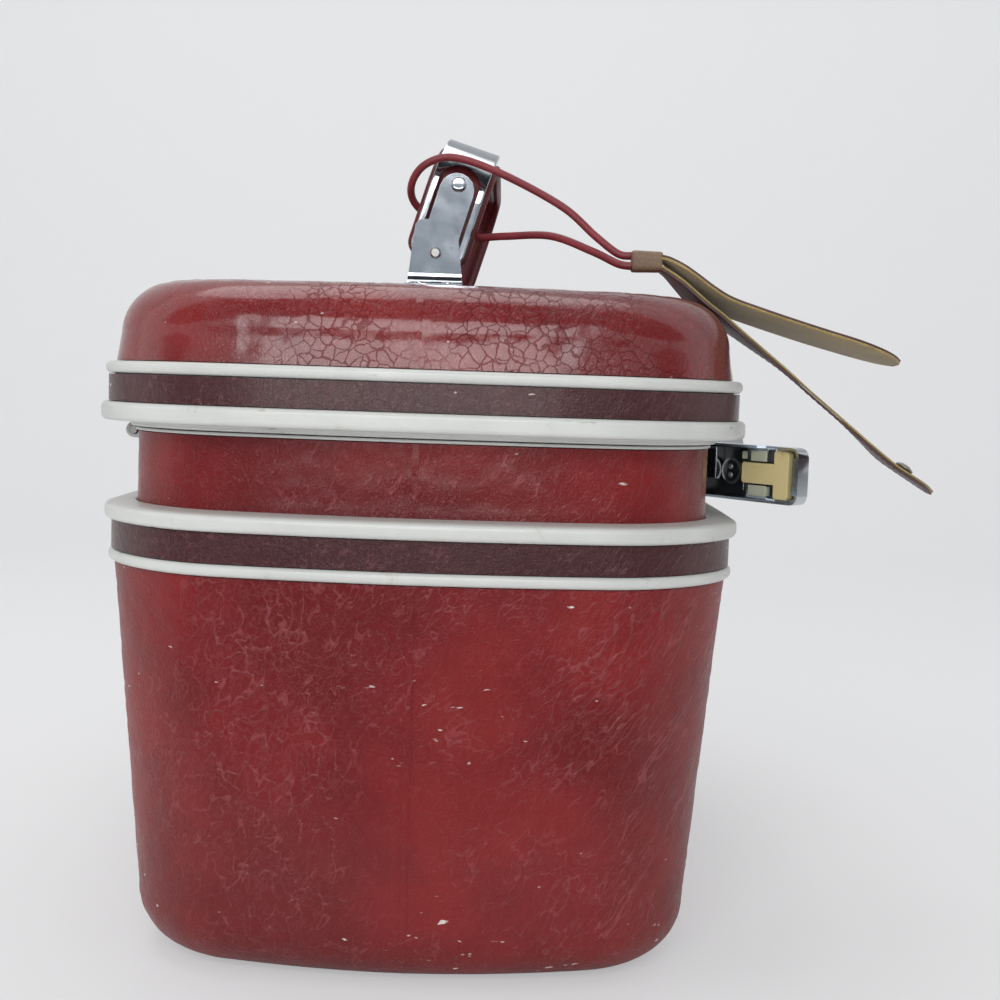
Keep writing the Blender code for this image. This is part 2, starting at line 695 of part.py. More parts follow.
def build_latch(side):
    """One swinging chrome cover with its plate, pin, nylon slide, lock barrel and keeper."""
    tag = side_name(side)
    barrel = LATCH_BARREL_RADIUS
    bore = LATCH_PIN_RADIUS + GAP
    plate_front = COLLAR_X + LIP_PROUD + GAP + LATCH_PLATE
    pin_x = plate_front + GAP + barrel
    pin_y = side * (LATCH_OFFSET - LATCH_LENGTH / 2)
    low_z = BASE_TOP_Z + LATCH_RISE
    high_z = low_z + LATCH_HEIGHT
    middle_z = (low_z + high_z) / 2
    half_z = LATCH_HEIGHT / 2
    ear_low = low_z - GAP - LATCH_EAR
    ear_high = high_z + GAP + LATCH_EAR

    def across(start, end):
        return sorted((pin_y + side * start, pin_y + side * end))

    y0, y1 = across(-barrel, LATCH_LENGTH - LATCH_CORNER)
    back = box((COLLAR_X + GAP, y0, ear_low), (plate_front, y1, COLLAR_TOP_Z - GAP))
    plate = add_object("latch_plate_" + tag, back, CHROME)
    y0, y1 = across(-barrel, barrel)
    post = box((plate_front - LATCH_PLATE, y0, ear_low), (plate_front, y1, ear_high))
    apply_boolean(plate, post, "UNION")
    for low, high in ((ear_low, ear_low + LATCH_EAR), (ear_high - LATCH_EAR, ear_high)):
        ear = box((plate_front - LATCH_PLATE / 2, y0, low), (pin_x + barrel, y1, high))
        apply_boolean(plate, ear, "UNION")
    drill = rod((pin_x, pin_y, ear_low - LATCH_HEIGHT), (pin_x, pin_y, ear_high + LATCH_HEIGHT), bore)
    apply_boolean(plate, drill, "DIFFERENCE")
    pin = rod((pin_x, pin_y, ear_low), (pin_x, pin_y, ear_high), LATCH_PIN_RADIUS, SMALL_ROUND_STEPS)
    add_object("latch_pin_" + tag, pin, STEEL)

    hinge = add_empty("latch_axis_" + tag, (pin_x, pin_y, 0), (0, 0, -side * math.radians(LATCH_OPEN_DEG)))
    rim_x = -barrel
    outer_x = rim_x + LATCH_PAN_DEPTH
    floor_x = outer_x - LATCH_WALL
    start = barrel + LATCH_WALL
    middle_s = (start + LATCH_LENGTH) / 2
    half_s = (LATCH_LENGTH - start) / 2
    pan = []
    for grow, depth in (
        (-LATCH_WALL, outer_x),
        (0, floor_x),
        (0, rim_x),
        (-LATCH_WALL, rim_x),
        (-LATCH_WALL, floor_x),
    ):
        outline = rounded_rectangle(half_s + grow, half_z + grow, LATCH_CORNER + grow, EDGE_STEPS)
        pan.append([Vector((depth, side * (middle_s + u), middle_z + v)) for u, v in outline])
    cover = add_object("latch_cover_" + tag, loft(pan), CHROME, hinge)
    y0, y1 = sorted((0, side * (start + LATCH_WALL / 2)))
    web = box((bore, y0, low_z + LATCH_CORNER), (barrel - GAP, y1, high_z - LATCH_CORNER))
    apply_boolean(cover, web, "UNION")
    apply_boolean(cover, rod((0, 0, low_z), (0, 0, high_z), barrel), "UNION")
    drill = rod((0, 0, low_z - LATCH_HEIGHT), (0, 0, high_z + LATCH_HEIGHT), bore)
    apply_boolean(cover, drill, "DIFFERENCE")

    y0, y1 = sorted((side * (LATCH_LENGTH - PAN_END_WALL), side * (LATCH_LENGTH - LATCH_WALL / 2)))
    end_low = (rim_x + GAP, y0, low_z + LATCH_CORNER)
    end_high = (floor_x + LATCH_WALL / 2, y1, high_z - LATCH_CORNER)
    apply_boolean(cover, box(end_low, end_high), "UNION")

    guide_y = sorted(side * LATCH_LENGTH * share for share in GUIDE_SHARES)
    for way in (-1, 1):
        stem_side = middle_z + way * (SLIDE_STEM_WIDTH / 2 + 2 * GAP)
        z0, z1 = sorted((stem_side, middle_z + way * (half_z - LATCH_WALL / 2)))
        guide = box((floor_x - GUIDE_HEIGHT, guide_y[0], z0), (floor_x + LATCH_WALL / 2, guide_y[1], z1))
        apply_boolean(cover, guide, "UNION")

    half_keeper = KEEPER_WIDTH / 2
    tab_x = rim_x + GAP / 2
    half_notch = half_keeper + KEEPER_NOTCH_CLEARANCE
    y0, y1 = sorted((side * (KEEPER_REACH - half_notch), side * (KEEPER_REACH + half_notch)))
    notch_end = tab_x + KEEPER_THICKNESS + KEEPER_NOTCH_CLEARANCE
    notch = box((-LATCH_PAN_DEPTH, y0, high_z - 2 * LATCH_WALL), (notch_end, y1, high_z + LATCH_WALL))
    apply_boolean(cover, notch, "DIFFERENCE")
    lock_y = side * (start + LOCK_SHARE * (LATCH_LENGTH - start))
    hole_start = (floor_x - LATCH_WALL, lock_y, middle_z)
    hole_end = (outer_x + LATCH_WALL, lock_y, middle_z)
    apply_boolean(cover, rod(hole_start, hole_end, LOCK_RADIUS + GAP), "DIFFERENCE")

    cam_back = floor_x - GAP - LOCK_CAM_THICKNESS
    barrel_back = (cam_back + LOCK_CAM_THICKNESS / 2, lock_y, middle_z)
    lock_body = rod(barrel_back, (outer_x, lock_y, middle_z), LOCK_RADIUS)
    lock = add_object("lock_barrel_" + tag, lock_body, STEEL, hinge)
    cam_front = (cam_back + LOCK_CAM_THICKNESS, lock_y, middle_z)
    apply_boolean(lock, rod((cam_back, lock_y, middle_z), cam_front, LOCK_FLANGE_RADIUS), "UNION")
    for way in (-1, 1):
        dot_z = middle_z + way * LOCK_DOT_RADIUS * LOCK_DOT_SPREAD_SHARE
        dot_start = (cam_back - LOCK_DOT_HEIGHT, lock_y, dot_z)
        dot_end = (cam_back + LOCK_DOT_HEIGHT, lock_y, dot_z)
        apply_boolean(lock, rod(dot_start, dot_end, LOCK_DOT_RADIUS, SMALL_ROUND_STEPS), "UNION")
    key_low = (outer_x - LATCH_WALL, lock_y - KEY_SLOT_WIDTH / 2, middle_z - KEY_SLOT_WIDTH * 2)
    key_high = (outer_x + LATCH_WALL, lock_y + KEY_SLOT_WIDTH / 2, middle_z + KEY_SLOT_WIDTH * 2)
    apply_boolean(lock, box(key_low, key_high), "DIFFERENCE")

    head_end = LATCH_LENGTH - PAN_END_WALL - LATCH_WALL - SLIDE_TRAVEL
    head_start = head_end - SLIDE_HEAD_LENGTH
    stem_start = head_start - SLIDE_STEM_LENGTH
    slide_top = floor_x - GAP
    half_stem = SLIDE_STEM_WIDTH / 2
    half_head = half_z - LATCH_WALL - 2 * GAP
    edge = SLIDE_EDGE
    outline = [
        (stem_start, edge - half_stem),
        (stem_start + edge, -half_stem),
        (head_start, -half_stem),
        (head_start, edge - half_head),
        (head_start + edge, -half_head),
        (head_end - edge, -half_head),
        (head_end, edge - half_head),
        (head_end, half_head - edge),
        (head_end - edge, half_head),
        (head_start + edge, half_head),
        (head_start, half_head - edge),
        (head_start, half_stem),
        (stem_start + edge, half_stem),
        (stem_start, half_stem - edge),
    ]

    def in_pan(u, v, depth):
        return Vector((depth, side * u, middle_z + v))

    slide = extrude(outline, slide_top - SLIDE_THICKNESS, slide_top, in_pan)
    add_object("latch_slide_" + tag, slide, NYLON, hinge)

    y0, y1 = across(KEEPER_REACH - half_keeper, KEEPER_REACH + half_keeper)
    top = LID_BOTTOM_Z - GAP
    tab_x += pin_x
    tab = box((tab_x, y0, top - KEEPER_DROP), (tab_x + KEEPER_THICKNESS, y1, top))
    keeper = add_object("latch_keeper_" + tag, tab, NYLON)
    flange_low = (tab_x, y0 - KEEPER_THICKNESS, top - KEEPER_THICKNESS / 2)
    flange_high = (tab_x + half_keeper, y1 + KEEPER_THICKNESS, top)
    apply_boolean(keeper, box(flange_low, flange_high), "UNION")


def bow_path(margin, corner, last_turn=math.pi / 2):
    """One half of the handle's bow from its leg end up, margin in from the outer face."""
    radius = HANDLE_BEND_RADIUS - margin
    leg_y = HANDLE_LENGTH / 2 - margin
    bend_y = HANDLE_LENGTH / 2 - HANDLE_BEND_RADIUS
    bend_z = HANDLE_RISE - HANDLE_BEND_RADIUS
    corner_z = corner - LEG_END
    points = []
    for share in CORNER_SHARES:
        points.append(Vector((0, leg_y, corner * share - LEG_END)))
    for step in range(1, LEG_STEPS + 1):
        points.append(Vector((0, leg_y, corner_z + (bend_z - corner_z) * step / LEG_STEPS)))
    for step in range(1, BEND_STEPS + 1):
        turn = last_turn * step / BEND_STEPS
        points.append(Vector((0, bend_y + radius * math.cos(turn), bend_z + radius * math.sin(turn))))
    return points


def leg_widths(count, half_width, corner):
    """Width shares that round the two corners at the bottom of a leg."""
    widths = []
    for share in CORNER_SHARES:
        inset = corner * (1 - math.sqrt(1 - (1 - share) ** 2))
        widths.append(1 - inset / half_width)
    return widths + [1] * (count - len(widths))


def stadium(half_width, low, high):
    """Outline of a slot with half-round ends; low and high are its outermost heights."""
    outline = []
    for centre, first in ((high - half_width, 0), (low + half_width, 1)):
        for step in range(SLOT_STEPS + 1):
            turn = math.pi * (first + step / SLOT_STEPS)
            outline.append((half_width * math.cos(turn), centre + half_width * math.sin(turn)))
    return outline


def build_handle():
    """A leather bow with chrome shoulders, hung by links from two feet on the lid."""
    pivot_z = LID_TOP_Z + HANDLE_PIVOT_HEIGHT
    pivot = add_empty("handle_axis", (0, 0, pivot_z), (0, math.radians(HANDLE_LEAN_DEG), 0))
    outer_y = HANDLE_LENGTH / 2
    half_width = HANDLE_WIDTH / 2
    leather = HANDLE_THICKNESS - CAP_THICKNESS - GAP
    sideways = Vector((1, 0, 0))
    half = bow_path(CAP_THICKNESS + GAP + leather / 2, LEG_CORNER)
    widths = leg_widths(len(half), half_width, LEG_CORNER)
    depths = [1] * len(half)
    for share, swell in zip(GRIP_SHARES, GRIP_SWELL_SHARES):
        half.append(Vector((0, (outer_y - HANDLE_BEND_RADIUS) * share, half[-1].z)))
        widths.append(1)
        depths.append(swell)
    far = [Vector((0, -point.y, point.z)) for point in reversed(half[:-1])]
    path = half + far
    widths += list(reversed(widths[:-1]))
    depths += list(reversed(depths[:-1]))
    section = rounded_rectangle(half_width, leather / 2, LEATHER_ROUND, SECTION_STEPS)
    grip = add_object("handle_grip", sweep(path, section, sideways, widths, depths), GRIP_LEATHER, pivot)

    cap_half = half_width - CAP_MARGIN
    cap_section = rounded_rectangle(cap_half, CAP_THICKNESS / 2, CAP_THICKNESS / 3, SECTION_STEPS)
    slot = stadium(WINDOW_WIDTH / 2, -WINDOW_WIDTH / 2, WINDOW_HEIGHT)
    link_half = LINK_WIDTH / 2
    link_outline = stadium(link_half, -link_half, LINK_HEIGHT)
    pin_hole = HANDLE_PIN_RADIUS + GAP
    slot_floor = outer_y - WINDOW_DEPTH
    slot_start = outer_y + WINDOW_DEPTH
    for side in (-1, 1):
        name = side_name(side)

        def on_leg(u, v, depth):
            return Vector((u, side * depth, v))

        cap_corner = LEG_CORNER - CAP_MARGIN / 2
        half = bow_path(CAP_THICKNESS / 2, cap_corner, CAP_TURN)
        line = [Vector((0, side * point.y, point.z)) for point in half]
        cap_shape = sweep(line, cap_section, sideways, leg_widths(len(line), cap_half, cap_corner))
        cap = add_object("handle_cap_" + name, cap_shape, CHROME, pivot)
        apply_boolean(cap, extrude(slot, slot_floor, slot_start, on_leg), "DIFFERENCE")
        apply_boolean(grip, extrude(slot, slot_floor, slot_start, on_leg), "DIFFERENCE")
        rivet_end = outer_y - HANDLE_THICKNESS + GAP
        blind = rod(on_leg(0, RIVET_HEIGHT, rivet_end), on_leg(0, RIVET_HEIGHT, slot_start), pin_hole)
        apply_boolean(grip, blind, "DIFFERENCE")

        link_start = outer_y - LINK_THICKNESS
        link_shape = extrude(link_outline, link_start, outer_y, on_leg)
        link = add_object("handle_link_" + name, link_shape, CHROME, pivot)
        for height in (0, RIVET_HEIGHT):
            hole = rod(on_leg(0, height, slot_floor), on_leg(0, height, slot_start), pin_hole)
            apply_boolean(link, hole, "DIFFERENCE")
        head_top = outer_y + GAP + RIVET_HEAD
        rivet_line = [
            (0, RIVET_RADIUS / 2),
            (RIVET_HEAD / 2, RIVET_RADIUS),
            (RIVET_HEAD, RIVET_RADIUS),
            (RIVET_HEAD, HANDLE_PIN_RADIUS),
            (head_top - rivet_end - GAP, HANDLE_PIN_RADIUS),
        ]
        rivet = turned(on_leg(0, RIVET_HEIGHT, head_top), on_leg(0, RIVET_HEIGHT, 0), rivet_line)
        add_object("handle_rivet_" + name, rivet, CHROME, pivot)

        plate_in = outer_y + GAP
        plate_out = plate_in + FOOT_PLATE
        low = LID_TOP_Z + GAP
        high = low + FOOT_HEIGHT
        half_base = FOOT_WIDTH / 2
        half_top = FOOT_TOP_WIDTH / 2
        corner = FOOT_CORNER
        foot_outline = [
            (half_base, low + corner),
            (half_top, high - corner),
            (half_top - corner / 2, high - corner / 3),
            (half_top - corner, high),
            (corner - half_top, high),
            (corner / 2 - half_top, high - corner / 3),
            (-half_top, high - corner),
            (-half_base, low + corner),
            (-half_base, low - GAP),
            (half_base, low - GAP),
        ]
        foot_end = plate_out + FOOT_FLANGE_LENGTH
        flange_top = low + FOOT_FLANGE_HEIGHT
        profile = [(plate_in, low), (foot_end, low), (foot_end, flange_top)]
        for step in range(FILLET_STEPS + 1):
            turn = math.pi / 2 * step / FILLET_STEPS
            reach = FOOT_FILLET * (1 - math.sin(turn))
            rise = FOOT_FILLET * (1 - math.cos(turn))
            profile.append((plate_out + reach, flange_top + rise))
        profile += [(plate_out, high + GAP), (plate_in, high + GAP)]

        def across_foot(u, v, depth):
            return Vector((depth, side * u, v))

        foot_shape = extrude(profile, -half_base - GAP, half_base + GAP, across_foot)
        foot = add_object("handle_foot_" + name, foot_shape, CHROME)
        trim = extrude(foot_outline, plate_in - GAP, foot_end + GAP, on_leg)
        apply_boolean(foot, trim, "INTERSECT")
        hole = rod(on_leg(0, pivot_z, slot_floor), on_leg(0, pivot_z, slot_start), pin_hole)
        apply_boolean(foot, hole, "DIFFERENCE")
        pin_head = plate_out + GAP + RIVET_HEAD
        pin_line = [
            (0, HANDLE_PIN_RADIUS),
            (RIVET_HEAD / 2, pin_hole + GAP),
            (RIVET_HEAD, pin_hole + GAP),
            (RIVET_HEAD, HANDLE_PIN_RADIUS),
            (pin_head - slot_floor - GAP, HANDLE_PIN_RADIUS),
        ]
        pin = turned(on_leg(0, pivot_z, pin_head), on_leg(0, pivot_z, 0), pin_line)
        add_object("handle_pin_" + name, pin, STEEL)
        screw_y = side * (plate_out + FOOT_FLANGE_LENGTH / 2)
        screw_z = low + FOOT_FLANGE_HEIGHT + GAP
        for number, way in enumerate((-1, 1), start=1):
            place = Vector((way * half_base / 2, screw_y, screw_z))
            screw_name = "foot_screw_" + name + "_" + str(number)
            add_screw(screw_name, place, place + Vector((0, 0, SCREW_HEAD)), CHROME)


def smooth_line(points, spacing):
    """A smooth curve through hand-chosen points, read at an even spacing."""
    fine = []
    count = len(points)
    for i in range(count - 1):
        p0 = points[max(i - 1, 0)]
        p1 = points[i]
        p2 = points[i + 1]
        p3 = points[min(i + 2, count - 1)]
        for step in range(CURVE_STEPS):
            t = step / CURVE_STEPS
            bend = 2 * p0 - 5 * p1 + 4 * p2 - p3
            pull = (p2 - p0) * t + bend * t * t + (3 * p1 - p0 - 3 * p2 + p3) * t * t * t
            fine.append(p1 + pull / 2)
    fine.append(points[-1])
    length = sum((fine[i + 1] - fine[i]).length for i in range(len(fine) - 1))
    pieces = max(2, round(length / spacing))
    target = length / pieces
    line = [fine[0]]
    walked = 0
    for i in range(len(fine) - 1):
        span = (fine[i + 1] - fine[i]).length
        while len(line) < pieces and walked + span >= target * len(line):
            line.append(fine[i].lerp(fine[i + 1], (target * len(line) - walked) / span))
        walked += span
    line.append(fine[-1])
    return line


def build_leaf(name, finish, places):
    """A hanging leather leaf; places list (x, z, width share, twist) from its tied end to its tip."""
    section = rounded_rectangle(TAG_WIDTH / 2, TAG_THICKNESS / 2, TAG_THICKNESS / 3, SECTION_STEPS)
    rings = []
    for i, (x, z, share, twist) in enumerate(places):
        before = places[max(i - 1, 0)]
        after = places[min(i + 1, len(places) - 1)]
        along = Vector((after[0] - before[0], 0, after[1] - before[1])).normalized()
        turn = math.radians(twist)
        level = Vector((0, 1, 0))
        up = along.cross(level)
        sideways = level * math.cos(turn) - up * math.sin(turn)
        lift = along.cross(sideways)
        centre = Vector((x, TAG_Y, z))
        rings.append([centre + sideways * u * share + lift * v for u, v in section])
    return add_object(name, loft(rings), finish)


def build_tag():
    """A two-leaf luggage tag tied to the near leg of the handle with a cord."""
    build_leaf("tag_lower_leaf", TAG_LEATHER, LOWER_LEAF_PLACES)
    build_leaf("tag_upper_leaf", SUEDE, UPPER_LEAF_PLACES)
    half_y = CLASP_WIDTH / 2
    clasp = []
    clasp_line = (
        (-CLASP_ROUND, -CLASP_LENGTH),
        (0, CLASP_ROUND - CLASP_LENGTH),
        (0, -CLASP_ROUND),
        (-CLASP_ROUND, 0),
    )
    for grow, x in clasp_line:
        half_z = CLASP_HEIGHT / 2 + grow
        outline = rounded_rectangle(half_y + grow, half_z, CLASP_ROUND * 2 + grow, SECTION_STEPS)
        clasp.append([Vector((CLASP_X + x, TAG_Y + u, CLASP_Z + v)) for u, v in outline])
    add_object("tag_clasp", loft(clasp), TAG_LEATHER)
    x, z, share, twist = LOWER_LEAF_PLACES[SNAP_PLACE]
    before = LOWER_LEAF_PLACES[SNAP_PLACE - 1]
    along = Vector((x - before[0], 0, z - before[1])).normalized()
    up = Vector((-along.z, 0, along.x))
    lift = TAG_THICKNESS / 2 + GAP + SNAP_RADIUS * abs(math.sin(math.radians(twist)))
    seat = Vector((x, TAG_Y, z)) + up * lift
    snap_line = [(0, SNAP_RADIUS), (SNAP_HEIGHT / 2, SNAP_RADIUS), (SNAP_HEIGHT, SNAP_RADIUS / 2)]
    add_object("tag_snap", turned(seat, seat + up, snap_line), STEEL)

    route = [Vector(place) * MM for place in CORD_ROUTE]
    line = smooth_line(route, CORD_RADIUS * CORD_POINT_SPACING)
    curve = bpy.data.curves.new("tag_cord", "CURVE")
    curve.dimensions = "3D"
    curve.bevel_depth = CORD_RADIUS
    curve.bevel_resolution = CORD_BEVEL_STEPS
    curve.use_fill_caps = True
    strand = curve.splines.new("POLY")
    strand.points.add(len(line) - 1)
    for point, place in zip(strand.points, line):
        point.co = (*place, 1)
    cord = bpy.data.objects.new("tag_cord", curve)
    bpy.context.collection.objects.link(cord)
    curve.materials.append(material("tag_cord", *CORD_RED))


clear_scene()
build_base()
build_lid()
build_mirror()
build_hinges()
build_latch(-1)
build_latch(1)
build_handle()
build_tag()
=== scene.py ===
"""Finished surfaces of a red vinyl train case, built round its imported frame.

Metres, +Z up. The origin is the middle of the flat underside. +X is the front,
where the latches are, and +Y runs along the case's length.
"""

import math

import bmesh
import bpy
from mathutils import Matrix, Vector, noise


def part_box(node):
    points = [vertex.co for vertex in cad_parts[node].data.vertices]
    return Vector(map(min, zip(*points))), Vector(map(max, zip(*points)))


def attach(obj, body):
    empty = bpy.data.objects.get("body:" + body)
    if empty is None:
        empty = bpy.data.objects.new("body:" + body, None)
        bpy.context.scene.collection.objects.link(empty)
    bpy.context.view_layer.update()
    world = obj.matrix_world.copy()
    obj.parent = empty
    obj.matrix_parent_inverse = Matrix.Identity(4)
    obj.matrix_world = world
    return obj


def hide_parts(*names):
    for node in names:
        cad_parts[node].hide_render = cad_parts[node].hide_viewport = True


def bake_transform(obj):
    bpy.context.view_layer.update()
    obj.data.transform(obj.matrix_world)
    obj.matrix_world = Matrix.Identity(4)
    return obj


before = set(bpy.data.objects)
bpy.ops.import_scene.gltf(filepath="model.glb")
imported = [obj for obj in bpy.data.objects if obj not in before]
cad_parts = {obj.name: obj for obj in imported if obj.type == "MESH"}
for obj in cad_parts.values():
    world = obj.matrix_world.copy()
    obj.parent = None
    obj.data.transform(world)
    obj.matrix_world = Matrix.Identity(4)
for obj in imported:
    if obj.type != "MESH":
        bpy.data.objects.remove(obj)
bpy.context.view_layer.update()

bl_info = {
    "name": "Train Case Dressing",
    "version": (1, 0, 0),
    "blender": (4, 5, 0),
    "location": "3D View > Sidebar > Train Case",
    "description": "Builds the finished surfaces of a red train case round its packed frame",
    "category": "Object",
}

MM = 0.001

# Sizes that the part's source also holds
CASE_DEPTH = 232 * MM
CASE_LENGTH = 344 * MM
CORNER_RADIUS = 48 * MM
END_BOW = 14 * MM
SIDE_BOW = 3 * MM
MIN_CORNER_SHARE = 0.2
BASE_RIM_Z = 143 * MM
BASE_TOP_Z = 164.5 * MM
LID_BOTTOM_Z = 193 * MM
LID_FRAME_TOP_Z = 213.6 * MM
LID_TOP_Z = 245.9 * MM
GAP = 0.3 * MM
SHELL_WALL = 2.5 * MM
LINING_WALL = 1.2 * MM
LINING_GAP = 0.5 * MM
SHELL_INSET = 3.6 * MM
BASE_TAPER = 9.8 * MM
BASE_FOOT_RADIUS = 22 * MM
THIN_RAIL_INSET = 1.5 * MM
BAND_INSET = 2.4 * MM
BAND_THICKNESS = 2.2 * MM
COLLAR_INSET = 11.2 * MM
COLLAR_WALL = 2.5 * MM
COLLAR_BOTTOM_Z = 133 * MM
COLLAR_TOP_Z = 189.2 * MM
LID_OVERSIZE = 1.4 * MM
FLANGE_INSET = 8.5 * MM
FLANGE_BOTTOM_Z = 191 * MM
LID_SHOULDER_RADIUS = 19 * MM
LID_DRAFT = 1.6 * MM
LID_CROWN = 3.2 * MM
THICK_RAIL = 6.5 * MM
THIN_RAIL = 4.2 * MM
RAIL_ROUND = 1.1 * MM
LIP_HEIGHT = 1.1 * MM
LIP_PROUD = 0.8 * MM
HANDLE_LENGTH = 141 * MM
HANDLE_WIDTH = 25 * MM
HANDLE_RISE = 47 * MM
HANDLE_BEND_RADIUS = 24 * MM
HANDLE_THICKNESS = 8.5 * MM
HANDLE_LEAN_DEG = 17
HANDLE_PIVOT_Z = 260.2 * MM
CAP_THICKNESS = 2.2 * MM
LEG_END = 3 * MM
LEG_CORNER = 6 * MM
WINDOW_WIDTH = 16.6 * MM
WINDOW_HEIGHT = 36 * MM
WINDOW_DEPTH = 4.2 * MM
LATCH_PIN_X = 109.6 * MM
LATCH_PIN_Y = 31 * MM
LATCH_OPEN_DEG = 37
LATCH_MIDDLE_Z = 177.8 * MM
LATCH_FLOOR_X = 3.7 * MM
LOCK_CAM = 1.4 * MM
LOCK_CENTRE = (3.3 + 0.3 * 56.7) * MM
LOCK_STUD_Z = 1.76 * MM
TAG_WIDTH = 36 * MM
TAG_THICKNESS = 1.8 * MM
TAG_Y = -94 * MM
CLASP_X = 84 * MM
CLASP_Z = 257.5 * MM
LOWER_LEAF_PLACES = (
    (84.8, 255.4, 0.26, 0),
    (88, 253.5, 0.4, 0),
    (92.5, 249.8, 0.7, 0),
    (97, 245.6, 0.9, 0),
    (102, 241.2, 1, 0),
    (108, 237.2, 1, -1),
    (115, 232.2, 1, -3),
    (124, 225.8, 1, -5),
    (133, 219.4, 1, -7),
    (141, 213, 1, -8),
    (149, 206.6, 1, -8),
    (157, 200.2, 1, -8),
    (165, 193.4, 1, -7),
    (173.5, 186.2, 0.97, -5),
    (180, 182, 0.84, -4),
    (186.5, 178, 0.6, -3),
    (191, 174.8, 0.22, -3),
)
UPPER_LEAF_PLACES = (
    (84.6, 259.1, 0.26, 1),
    (88, 258, 0.4, 2),
    (92.5, 254.8, 0.7, 3),
    (97, 250.8, 0.9, 4),
    (103, 246.2, 1, 4),
    (110, 242.4, 1, 4),
    (121, 238.8, 1, 4),
    (133, 235.2, 1, 4),
    (145, 231.8, 1, 4),
    (157, 228.6, 0.97, 4),
    (166, 226, 0.82, 4),
    (172, 224.1, 0.58, 4),
    (176, 222.8, 0.22, 4),
)
CORD_ROUTE = (
    (74.6, -92.2, 259.7),
    (69.5, -91.8, 260.4),
    (61, -88.6, 267),
    (48, -84, 278.3),
    (24, -76, 291.2),
    (6.1, -72.6, 297),
    (-4.5, -71.4, 294.5),
    (-10, -68.5, 288),
    (-10, -62, 281.5),
    (-3.5, -57.6, 275.5),
    (6, -56.6, 270.5),
    (15.5, -58.6, 268.2),
    (27, -66, 268.2),
    (44.5, -78, 267.6),
    (60, -88.4, 261.3),
    (69.5, -94.4, 256.4),
    (74.6, -95.8, 255.6),
)
# Where the handle's feet stand on the lid, either side of its middle
FOOT_PLACE_Y = 78 * MM

# Steps in the plan of a finished surface: along a side, round a corner, along an end
FINE_PLAN = (60, 34, 34)
RAIL_PLAN = (14, 20, 14)
# The tallest row of a crumpled surface, and counts of steps in curves
FINE_ROW = 2.2 * MM
FOOT_STEPS = 16
INNER_STEPS = 8
CROWN_ROWS = 30
LINING_CROWN_ROWS = 6
INNER_CROWN_ROWS = 3
EDGE_STEPS = 4
CURVE_STEPS = 24
LEAF_STEPS = 5
SLOT_STEPS = 20
CIRCLE_STEPS = 32
HEAD_STEPS = 24
CORD_STEPS = 5
CORNER_SHARES = (0, 0.03, 0.08, 0.15, 0.25, 0.4, 0.6, 0.8, 1)
# How near to the lid's middle its crown's last ring lies
CROWN_REACH = 0.97
# A CAD mesh is merged closer than this, flattened below one angle, and rounded above the other
MERGE_DISTANCE = 0.002 * MM
FLAT_DEG = 1.5
HARD_DEG = 32
# A crumpled surface: how wide its creases are in its cells, and their share of its depth
CREASE_WIDTH = 0.3
CREASE_SHARE = 0.65
CRUMPLE_SEED = 7
SIDES = (("near", -1), ("far", 1))

HALF_X = CASE_DEPTH / 2
HALF_Y = CASE_LENGTH / 2
FRAME_INNER_INSET = COLLAR_INSET - GAP
COLLAR_INNER_INSET = COLLAR_INSET + COLLAR_WALL

# Between these heights lie the two dark strips
BASE_THIN_TOP_Z = BASE_RIM_Z + THIN_RAIL
BASE_THICK_BOTTOM_Z = BASE_TOP_Z - THICK_RAIL
LID_THICK_TOP_Z = LID_BOTTOM_Z + THICK_RAIL
LID_THIN_BOTTOM_Z = LID_FRAME_TOP_Z - THIN_RAIL

# From the handle's own upright frame to its place on the lid
HANDLE_LEAN = Matrix.Rotation(math.radians(HANDLE_LEAN_DEG), 4, "Y")
HANDLE_LEAN = Matrix.Translation((0, 0, HANDLE_PIVOT_Z)) @ HANDLE_LEAN


def linear(code):
    """An sRGB hex colour as linear light."""
    channels = [int(code[i : i + 2], 16) / 255 for i in (1, 3, 5)]
    return tuple(c / 12.92 if c <= 0.04045 else ((c + 0.055) / 1.055) ** 2.4 for c in channels)


def colour_of(name, description, code):
    """A finish's colour for the panel."""
    return bpy.props.FloatVectorProperty(
        name=name, description=description, subtype="COLOR", size=3, default=linear(code)
    )


def size_of(name, description, size):
    """A surface detail's size for the panel."""
    return bpy.props.FloatProperty(name=name, description=description, unit="LENGTH", default=size)


class CaseColours(bpy.types.PropertyGroup):
    """Colours of the case's finishes."""

    vinyl: colour_of("Vinyl", "Deep red of the shells", "#6a161a")
    vinyl_bright: colour_of("Vinyl blotches", "Brighter red of the rubbed blotches", "#821d1d")
    band: colour_of("Band", "Dark maroon of the two strips", "#452326")
    rail: colour_of("Rails", "Pale grey of the moulded rails", "#c9cbc8")
    grip: colour_of("Grip", "Burgundy leather of the grip", "#6a2226")
    suede: colour_of("Suede", "Olive tan inner face of the tag", "#a08a56")
    tag: colour_of("Tag leather", "Smooth brown outer face of the tag", "#5c4244")
    nylon: colour_of("Nylon", "Aged cream of the latch slides", "#f6e4a8")
    lining: colour_of("Lining", "Rose cloth inside the case", "#a2595a")
    backdrop: colour_of("Backdrop", "Pale floor and backdrop", "#e4e5e7")


